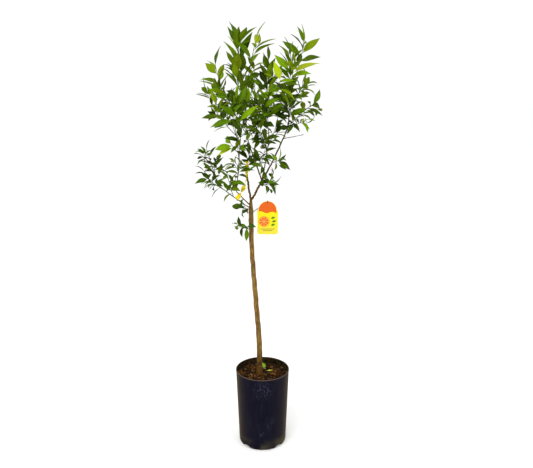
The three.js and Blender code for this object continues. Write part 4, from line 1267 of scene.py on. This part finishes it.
def tube(points, radii, sides):
    """Rings of points round a line, square to it."""
    rings = []
    last = len(points) - 1
    angles = np.arange(sides) * 2 * math.pi / sides
    for k, (point, radius) in enumerate(zip(points, radii)):
        a, b = square_to(unit(points[min(k + 1, last)] - points[max(k - 1, 0)]))
        rings.append(point + radius * (np.cos(angles)[:, None] * a + np.sin(angles)[:, None] * b))
    return np.vstack(rings)


tubes = Shapes()
for spray in sprays:
    draw = seeded(len(tubes.points) + 5)
    for line, (foot, tip), *_ in spray["twigs"]:
        count = max(4, math.ceil(math.dist(line[0], line[-1]) / TWIG_POINT_STEP))
        shares = np.linspace(0, 1, count + 1)
        middle = np.array([along(line, share)[0] for share in shares])
        radii = foot + (tip - foot) * shares
        a, b = square_to(unit(line[-1] - line[0]))
        for k in range(1, count):
            side = (1 if k % 2 else -1) * ZIGZAG * radii[k]
            middle[k] += a * side + b * draw(-0.3, 0.3) * radii[k]
            radii[k] *= SWELLING if k % 2 else 1
        tubes.add(tube(middle, radii, TWIG_SIDES), ring_faces(count + 1, TWIG_SIDES))
twigs = tubes.mesh()
smooth(twigs, 50)
print("twig faces:", len(tubes.faces))

# %% [markdown]
# Twigs of this year are green and matt, with a light speckle of about 3 mm.

# %% Twigs: finish
shoot_bark = mottled(
    "green citrus shoot",
    0.7,
    ("#22320a", "#47561a"),
    (0.35, 0.7, 3),
    (0.2, 3),
    Specular_IOR_Level=0.08,
)
finish_piece(twigs, "twigs", [shoot_bark])

# %% [markdown]
# ## Leaves
# A citrus leaf is a leathery blade on a short stalk, a third as wide as long, folded a little along its
# pale midrib and wavy at its edge. Every leaf is a closed thin shell: ten cross sections of nine points from
# stalk to tip. The upper side, the underside and the midrib are separate faces, so each has its own colour.

# %% Leaf: shape
LEAF_STATIONS = np.array([0.0, 0.05, 0.1, 0.2, 0.33, 0.47, 0.61, 0.75, 0.88, 1.0])
LEAF_ACROSS = np.array([-1, -0.5, -0.07, 0.07, 0.5, 1, 0.5, 0, -0.5])
LEAF_TOP = 6
BLADE_THICK = 0.45
RIB_THICK = 1.1
STALK_HALF = 0.8
FOLD = 0.24
CUSHION = 0.1
RIB_GROOVE = 0.25
UPPER, UNDER, RIB = 0, 1, 2


def leaf_points(leaf, draw):
    """Rings of nine points from the stalk to the tip: six across the upper side, three below."""
    shares = LEAF_STATIONS
    middle = rib_points(leaf, shares)
    half = np.maximum(0.5 * leaf["width"] * blade_share(shares), STALK_HALF * (shares < 0.12))
    half = np.maximum(half, 0.12)
    angle = leaf["droop"] * shares
    up = np.cos(angle)[:, None] * leaf["up"] + np.sin(angle)[:, None] * leaf["ahead"]
    twist = draw(-0.35, 0.35) * shares + draw(-0.15, 0.15)
    side = np.cos(twist)[:, None] * leaf["side"] + np.sin(twist)[:, None] * up
    up = np.cos(twist)[:, None] * up - np.sin(twist)[:, None] * leaf["side"]
    fold = FOLD * draw(0.4, 1.5)
    wave_start, wave = draw(0, 6.28), draw(0.02, 0.09)
    rings = []
    for k in range(len(shares)):
        ring = []
        for i, across in enumerate(LEAF_ACROSS):
            reach = abs(across)
            rise = half[k] * (fold * reach + CUSHION * math.sin(math.pi * reach))
            rise += half[k] * wave * reach**2 * math.sin(wave_start + 12 * shares[k] + across)
            if reach < 0.1 and i < LEAF_TOP:
                rise -= RIB_GROOVE
            if i >= LEAF_TOP:
                rise -= RIB_THICK if across == 0 else BLADE_THICK
            ring.append(middle[k] + side[k] * across * half[k] + up[k] * rise)
        rings.append(ring)
    return np.array(rings).reshape(-1, 3)


leaf_faces = ring_faces(len(LEAF_STATIONS), len(LEAF_ACROSS))
around_kinds = [UPPER, UPPER, RIB, UPPER, UPPER, UNDER, UNDER, UNDER, UNDER]
leaf_kinds = around_kinds * (len(LEAF_STATIONS) - 1) + [UNDER, UNDER]
print("faces of one leaf:", len(leaf_faces))

# %% Leaves: dealt by tone
# Deep and dark tones are painted shade inside the crown; bright and lime are painted light on outer leaves.
TONE_DEAL = {
    "dark": ("dark", "dark", "dark", "mid", "deep"),
    "mid": ("mid", "mid", "dark", "olive", "bright"),
    "bright": ("bright", "bright", "mid", "bright", "lime"),
    "lime": ("lime", "lime", "bright"),
}
TONES_LIT_AND_SHADED = {
    "deep": ("#0e2201", "#1d3006"),
    "dark": ("#203b00", "#374f08"),
    "mid": ("#3b5d00", "#506a08"),
    "bright": ("#618503", "#768e0a"),
    "lime": ("#94aa10", "#a4b224"),
    "olive": ("#4c6402", "#62740a"),
}
gathered = {tone: Shapes() for tone in TONES_LIT_AND_SHADED}
for index, spray in enumerate(sprays):
    draw = seeded(index + 411)
    deal = TONE_DEAL[spray["tone"]]
    for leaf in spray["leaves"]:
        tone = deal[int(draw(0, len(deal)))]
        gathered[tone].add(leaf_points(leaf, draw), leaf_faces, leaf_kinds)
print({tone: len(leaves.faces) // len(leaf_faces) for tone, leaves in gathered.items()})

# %% [markdown]
# ### Leaf finish
# Under a wide, soft light the waxy upper side shows hardly any gloss, only a fine grain. Real pores are far
# too small to show, so the grain is drawn at 1.4 mm. The underside is paler and more matt, and the rib is
# yellowish. Tones run from nearly black green inside the crown, which is painted shade, to bright green and
# lime on the outer sprays, which is painted light on lit and backlit leaves and in part the lime of new
# growth. The leaves of a tone are joined in one piece, and each side of the leaf has its own colour, lighter
# in soft patches.

# %% Leaves: meshes and materials
WAX_GLOSS = 0.03
SHARP_EDGE = 48
YELLOW_GREEN = (0xB8, 0xC6, 0x24)
LIVING_LEAF = ((0.42, 0, 0.2), (0.62, 0, 0.18), (0.5, 0.35, 0.45))


def lighter(hex_code, share):
    """The same colour, moved a share of the way to yellow green."""
    parts = [int(hex_code[i : i + 2], 16) for i in (1, 3, 5)]
    return "#" + "".join(f"{round(p + (g - p) * share):02x}" for p, g in zip(parts, YELLOW_GREEN))


def leaf_materials(name, upper, under, sides):
    """The materials of the three sides, each with its roughness and how much lighter its patches are."""
    materials = []
    names, colours = ("upper side", "underside", "midrib"), (upper, under, upper)
    for side, colour, (roughness, low, high) in zip(names, colours, sides):
        tones = (lighter(colour, low), lighter(colour, high))
        patches, pores = (0.3, 0.7, 26), (0.12, 1.4, 2)
        gloss = {"Specular_IOR_Level": WAX_GLOSS}
        materials.append(mottled(f"{name} {side}", roughness, tones, patches, pores, **gloss))
    return materials


for tone, leaves in gathered.items():
    obj = leaves.mesh()
    face_outwards(obj)
    smooth(obj, SHARP_EDGE)
    materials = leaf_materials(f"citrus leaf {tone}", *TONES_LIT_AND_SHADED[tone], LIVING_LEAF)
    stands_for = [spray["name"] for spray in sprays if spray["tone"] == tone]
    finish_piece(obj, f"leaves_{tone}", materials, stands_for)

# %% [markdown]
# ## Leaves on the soil
# Two leaves have dropped and lie on the bark, a green one behind the trunk and a yellowed one in front of
# it. They are the same blade, laid flat with the upper side to the sky, and their tips curl up.

# %% Fallen leaves
FALLEN = {
    "fallen_green_leaf": ("lying_green_leaf", (12, 58), (-3, 100), 17, "#6f9a2c", "#93ad52"),
    "fallen_yellow_leaf": ("lying_yellow_leaf", (14, 36), (45, 30), 10, "#c6cc4a", "#d2d27a"),
}
FALLEN_LIFT = 2.5
FALLEN_CURL = -22
DRYING_LEAF = ((0.5, 0, 0.3), (0.65, 0, 0.2), (0.5, 0.5, 0.6))
for index, (node, (name, root, tip, width, upper, under)) in enumerate(FALLEN.items()):
    start = np.array([*root, SOIL_TOP + FALLEN_LIFT])
    ahead = unit(np.array([*tip, start[2]]) - start)
    leaf = {
        "root": start, "ahead": ahead, "up": UP, "side": np.cross(ahead, UP), "width": width,
        "length": math.dist(root, tip), "droop": math.radians(FALLEN_CURL),
    }
    blade = Shapes()
    blade.add(leaf_points(leaf, seeded(index + 3)), leaf_faces, leaf_kinds)
    obj = blade.mesh()
    face_outwards(obj)
    smooth(obj, SHARP_EDGE)
    materials = leaf_materials(node, upper, under, DRYING_LEAF)
    finish_piece(obj, name, materials, [node])

# %% [markdown]
# ## The card
# A plastic card with an arched tab hangs beside the trunk. Its blank is a plane whose corner points are
# bevelled before it is given its thickness. An oval joined to it makes the tab, and a round hole is punched.
# The print on it is a design of this lesson's own: an orange cap with a wavy edge, a citrus slice, three
# green lozenges, and two plain rules on a straw yellow foot.

# %% Card: blank
TAB_SEGMENTS = 64
HOLE_SEGMENTS = 24
TOP_CORNER_SEGMENTS = 5
LOW_CORNER_SEGMENTS = 8
body_width = TAG_RIGHT - TAG_LEFT
tab_half = body_width / 2 - TAB_INSET
tag_depth = TAG_FRONT + TAG_THICK / 2
body_middle = (TAG_BOTTOM + TAG_SHOULDER) / 2

deselect()
bpy.ops.mesh.primitive_plane_add(
    size=1, location=np.array([tag_middle, TAG_FRONT, body_middle]) * MM, rotation=(math.pi / 2, 0, 0)
)
card = bpy.context.object
card.scale = np.array([body_width, TAG_SHOULDER - TAG_BOTTOM, 1]) * MM
bpy.ops.object.transform_apply(location=True, rotation=True, scale=True)


def round_corners(obj, is_top, radius, segments):
    """Bevels the blank's two upper or two lower corner points."""
    pick(obj)
    bpy.ops.object.mode_set(mode="EDIT")
    bpy.ops.mesh.select_mode(type="VERT")
    bpy.ops.mesh.select_all(action="DESELECT")
    bpy.ops.object.mode_set(mode="OBJECT")
    for vertex in obj.data.vertices:
        vertex.select = (vertex.co.z > body_middle * MM) == is_top
    bpy.ops.object.mode_set(mode="EDIT")
    bpy.ops.mesh.bevel(offset=radius * MM, segments=segments, affect="VERTICES")


round_corners(card, True, TAB_INSET, TOP_CORNER_SEGMENTS)
round_corners(card, False, TAG_CORNER, LOW_CORNER_SEGMENTS)
bpy.ops.mesh.select_all(action="SELECT")
bpy.ops.mesh.extrude_region_move(TRANSFORM_OT_translate={"value": (0, TAG_THICK * MM, 0)})
face_outwards(card)


def plug(half_width, half_height, depth, height, segments):
    """An oval plug that runs through the card, from front to back, at a height."""
    deselect()
    bpy.ops.mesh.primitive_cylinder_add(
        vertices=segments, radius=MM, depth=depth * MM, rotation=(math.pi / 2, 0, 0)
    )
    obj = bpy.context.object
    bpy.ops.object.transform_apply(rotation=True)
    obj.scale = (half_width, 1, half_height)
    obj.location = np.array([tag_middle, tag_depth, height]) * MM
    bpy.ops.object.transform_apply(location=True, scale=True)
    return obj


tab = plug(tab_half, TAG_TOP - TAG_SHOULDER, TAG_THICK, TAG_SHOULDER, TAB_SEGMENTS)
punch = plug(HOLE_RADIUS, HOLE_RADIUS, 4 * TAG_THICK, TAG_TOP - HOLE_BELOW_TOP, HOLE_SEGMENTS)
for operation, tool in (("UNION", tab), ("DIFFERENCE", punch)):
    apply_modifier(card, "BOOLEAN", operation=operation, object=tool, solver="EXACT")
    bpy.data.objects.remove(tool)
front_area = sum(face.area for face in card.data.polygons if face.normal.y < -0.9)
print("card faces:", len(card.data.polygons), "front in square cm:", round(front_area * 1e4, 1))

# %% Card: print
CARD_COLOURS = {
    "yellow": "#d2c80c",
    "orange": "#c85412",
    "pale": "#e8b45c",
    "green": "#2f7018",
    "brown": "#583a18",
    "straw": "#d4c434",
}
INK_THICK = 0.15
MARGIN = 1.2
CAP_LOW = 995
CAP_WAVE = 3.2
CAP_POINTS = 41
FOOT_HIGH = 936
SLICE_CENTRE = (7, 957)
SLICE_RADIUS = 21
RIND = 2
PITH = 3
CIRCLE_POINTS = 49
SEGMENTS = 8
SEGMENT_SHIFT = 1.4
SEGMENT_GAP = 2
LOZENGES = ((42, 972), (46, 958), (42, 944))
RULES = ((926, 27), (919.5, 19))
RULE_HEIGHT = 2
print_shapes = Shapes()


def printed(outline, layer, colour):
    """A flat film on the card's front, from its outline in the card's plane."""
    face = TAG_FRONT - INK_THICK * layer
    depths = (face + 0.6 * INK_THICK, face - INK_THICK)
    points = [[x, y, z] for y in depths for x, z in outline]
    print_shapes.add(points, ring_faces(2, len(outline)), list(CARD_COLOURS).index(colour))


def arc(cx, cz, rx, rz, start, end, count):
    angles = np.radians(np.linspace(start, end, count))
    return [(cx + rx * math.cos(a), cz + rz * math.sin(a)) for a in angles]


cap_half = tab_half - MARGIN
cap = arc(tag_middle, TAG_SHOULDER, cap_half, TAG_TOP - TAG_SHOULDER - MARGIN, 0, 180, CAP_POINTS)
for i in range(CAP_POINTS):
    share = i / (CAP_POINTS - 1)
    wave = CAP_WAVE * math.sin(3 * math.pi * share + 0.6) - 3 * share
    cap.append((tag_middle + cap_half * (2 * share - 1), CAP_LOW + wave))
printed(cap, 1, "orange")
foot_corner = TAG_CORNER - MARGIN
foot = [(TAG_RIGHT - MARGIN, FOOT_HIGH), (TAG_LEFT + MARGIN, FOOT_HIGH)]
for cx, start in ((TAG_LEFT + TAG_CORNER, 180), (TAG_RIGHT - TAG_CORNER, 270)):
    foot += arc(cx, TAG_BOTTOM + TAG_CORNER, foot_corner, foot_corner, start, start + 90, 7)
printed(foot, 1, "straw")
for radius, layer, colour in ((SLICE_RADIUS, 1, "orange"), (SLICE_RADIUS - RIND, 2, "pale")):
    printed(arc(*SLICE_CENTRE, radius, radius, 0, 360, CIRCLE_POINTS)[:-1], layer, colour)
radius = SLICE_RADIUS - RIND - PITH
for i in range(SEGMENTS):
    start, end = 360 * i / SEGMENTS + SEGMENT_GAP, 360 * (i + 1) / SEGMENTS - SEGMENT_GAP
    cx, cz = SLICE_CENTRE + SEGMENT_SHIFT * way(math.radians((start + end) / 2))[:2]
    printed([(cx, cz)] + arc(cx, cz, radius, radius, start, end, 7), 3, "orange")
for cx, cz in LOZENGES:
    printed([(cx - 9, cz - 2), (cx, cz - 5), (cx + 9, cz + 2), (cx, cz + 5)], 1, "green")
for low, half in RULES:
    left, right, high = tag_middle - half, tag_middle + half, low + RULE_HEIGHT
    printed([(left, low), (right, low), (right, high), (left, high)], 2, "brown")
ink = print_shapes.mesh()
print("print faces:", len(print_shapes.faces))

# %% [markdown]
# The card is sheet plastic, printed in flat colours, with a dull shine. Print and plastic have hardly any
# texture: patches of 9 mm vary a little in tone, and the grain of 1.5 mm is coarser than the real one.

# %% Card: finish
for name, hue in CARD_COLOURS.items():
    printed_card = mottled(
        f"printed card {name}",
        0.33,
        (hue, lighter(hue, 0.06)),
        (0.2, 0.8, 9, 2),
        (0.05, 1.5, 2),
        Specular_IOR_Level=0.15,
    )
    for obj in (card, ink):
        obj.data.materials.append(printed_card)
join(card, ink)
smooth(card, 30)
finish_piece(card, "hanging_card", [], ["tag"])

# %% [markdown]
# ## Tie and strip label
# A dark plastic coated wire holds the card: round the trunk, through the hole and back. It is a closed
# curve, so its section is drawn round by itself. Its coat is rubbed a little paler in places.

# %% Tie
line = tie_line()
tie = round_curve(line, [TIE_RADIUS] * len(line), 3, closed=True)
smooth(tie)
wire_coat = mottled("plastic coated wire", 0.4, ("#241f1a", "#3d342a"), (0.4, 0.7, 4, 2))
finish_piece(tie, "card_tie", [wire_coat], ["tag_tie"])

# %% [markdown]
# Higher up, a strip label of faded yellow film is looped round the cut end of the central bough. It is
# pinched to a cord below its loop, its long end twists and swings down to the left, and a few brown stains
# show on it. The tails are one ribbon that turns about its own line, and the loop is a thin collar.

# %% Strip label
RIBBON_STEPS = 72
RIBBON_WIDTHS = ((-0.3, 17), (0, 4.5), (0.38, 4.5), (0.56, 17))
TWISTS = 2.6
COLLAR_SIDES = 32
corners = []
shares = np.linspace(-1, 1, RIBBON_STEPS)
centres = [strip_point(share) for share in shares]
for k, centre in enumerate(centres):
    ahead = unit(centres[min(k + 1, RIBBON_STEPS - 1)] - centres[max(k - 1, 0)])
    across = unit(np.cross(ahead, np.array([0.0, 1, 0])))
    across = turned(across, ahead, 2 * math.pi * TWISTS * k / (RIBBON_STEPS - 1))
    half = across * look_up(RIBBON_WIDTHS, shares[k]) / 2
    through = np.cross(ahead, across) * STRIP_THICK / 2
    corners += [centre + half * a + through * b for a, b in ((1, 1), (-1, 1), (-1, -1), (1, -1))]
ribbon = Shapes()
ribbon.add(corners, ring_faces(RIBBON_STEPS, 4))
label = ribbon.mesh()
deselect()
bpy.ops.mesh.primitive_cylinder_add(
    vertices=COLLAR_SIDES, radius=collar_radius * MM, depth=COLLAR_HEIGHT * MM, end_fill_type="NOTHING"
)
collar = bpy.context.object
apply_modifier(collar, "SOLIDIFY", thickness=STRIP_THICK * MM, offset=0)
collar.rotation_euler = Vector(collar_heading).to_track_quat("Z", "Y").to_euler()
collar.location = collar_centre * MM
bpy.ops.object.transform_apply(location=True, rotation=True)
join(label, collar)
smooth(label, 40)

label_film = Finish("yellow label film", 0.4, "#ecd80c", Specular_IOR_Level=0.15)
label_film.paint("#dcc010", label_film.blotches(0.35, 0.6, 12))
label_film.paint("#9a5c1c", label_film.blotches(0.6, 0.68, 7))
finish_piece(label, "strip_ribbon", [label_film.material], ["strip_label"])

# %% [markdown]
# ## Floor and light
# The stage is a wide pale floor under soft light: a pale sky all round, one large lamp from the upper left
# and a weaker one from the right. The Standard view shows colours as they were picked. Nothing here belongs
# to the plant.

# %% Stage
FLOOR_RADIUS = 40
FLOOR_SIDES = 96
SKY_STRENGTH = 1.03
LIT_PLACE = Vector((0, 0, 0.9))
LAMPS = {"key light": ((-1.6, -3.2, 3.8), 3.0, 112), "fill light": ((3.0, -2.0, 2.2), 2.5, 25)}

deselect()
bpy.ops.mesh.primitive_circle_add(vertices=FLOOR_SIDES, radius=FLOOR_RADIUS, fill_type="NGON")
floor = bpy.context.object
floor.name = "floor"
studio_floor = Finish("matt white studio floor", 0.9, "#fdfdfc")
floor.data.materials.append(studio_floor.material)

world = bpy.data.worlds.new("studio")
bpy.context.scene.world = world
world.use_nodes = True
sky = world.node_tree.nodes["Background"]
sky.inputs["Color"].default_value = linear("#ffffff")
sky.inputs["Strength"].default_value = SKY_STRENGTH
for name, (place, size, power) in LAMPS.items():
    bpy.ops.object.light_add(type="AREA", location=place)
    light = bpy.context.object
    light.name = name
    light.data.size = size
    light.data.energy = power
    light.rotation_euler = (LIT_PLACE - Vector(place)).to_track_quat("-Z", "Y").to_euler()
bpy.context.scene.view_settings.view_transform = "Standard"
print("lights:", list(LAMPS))
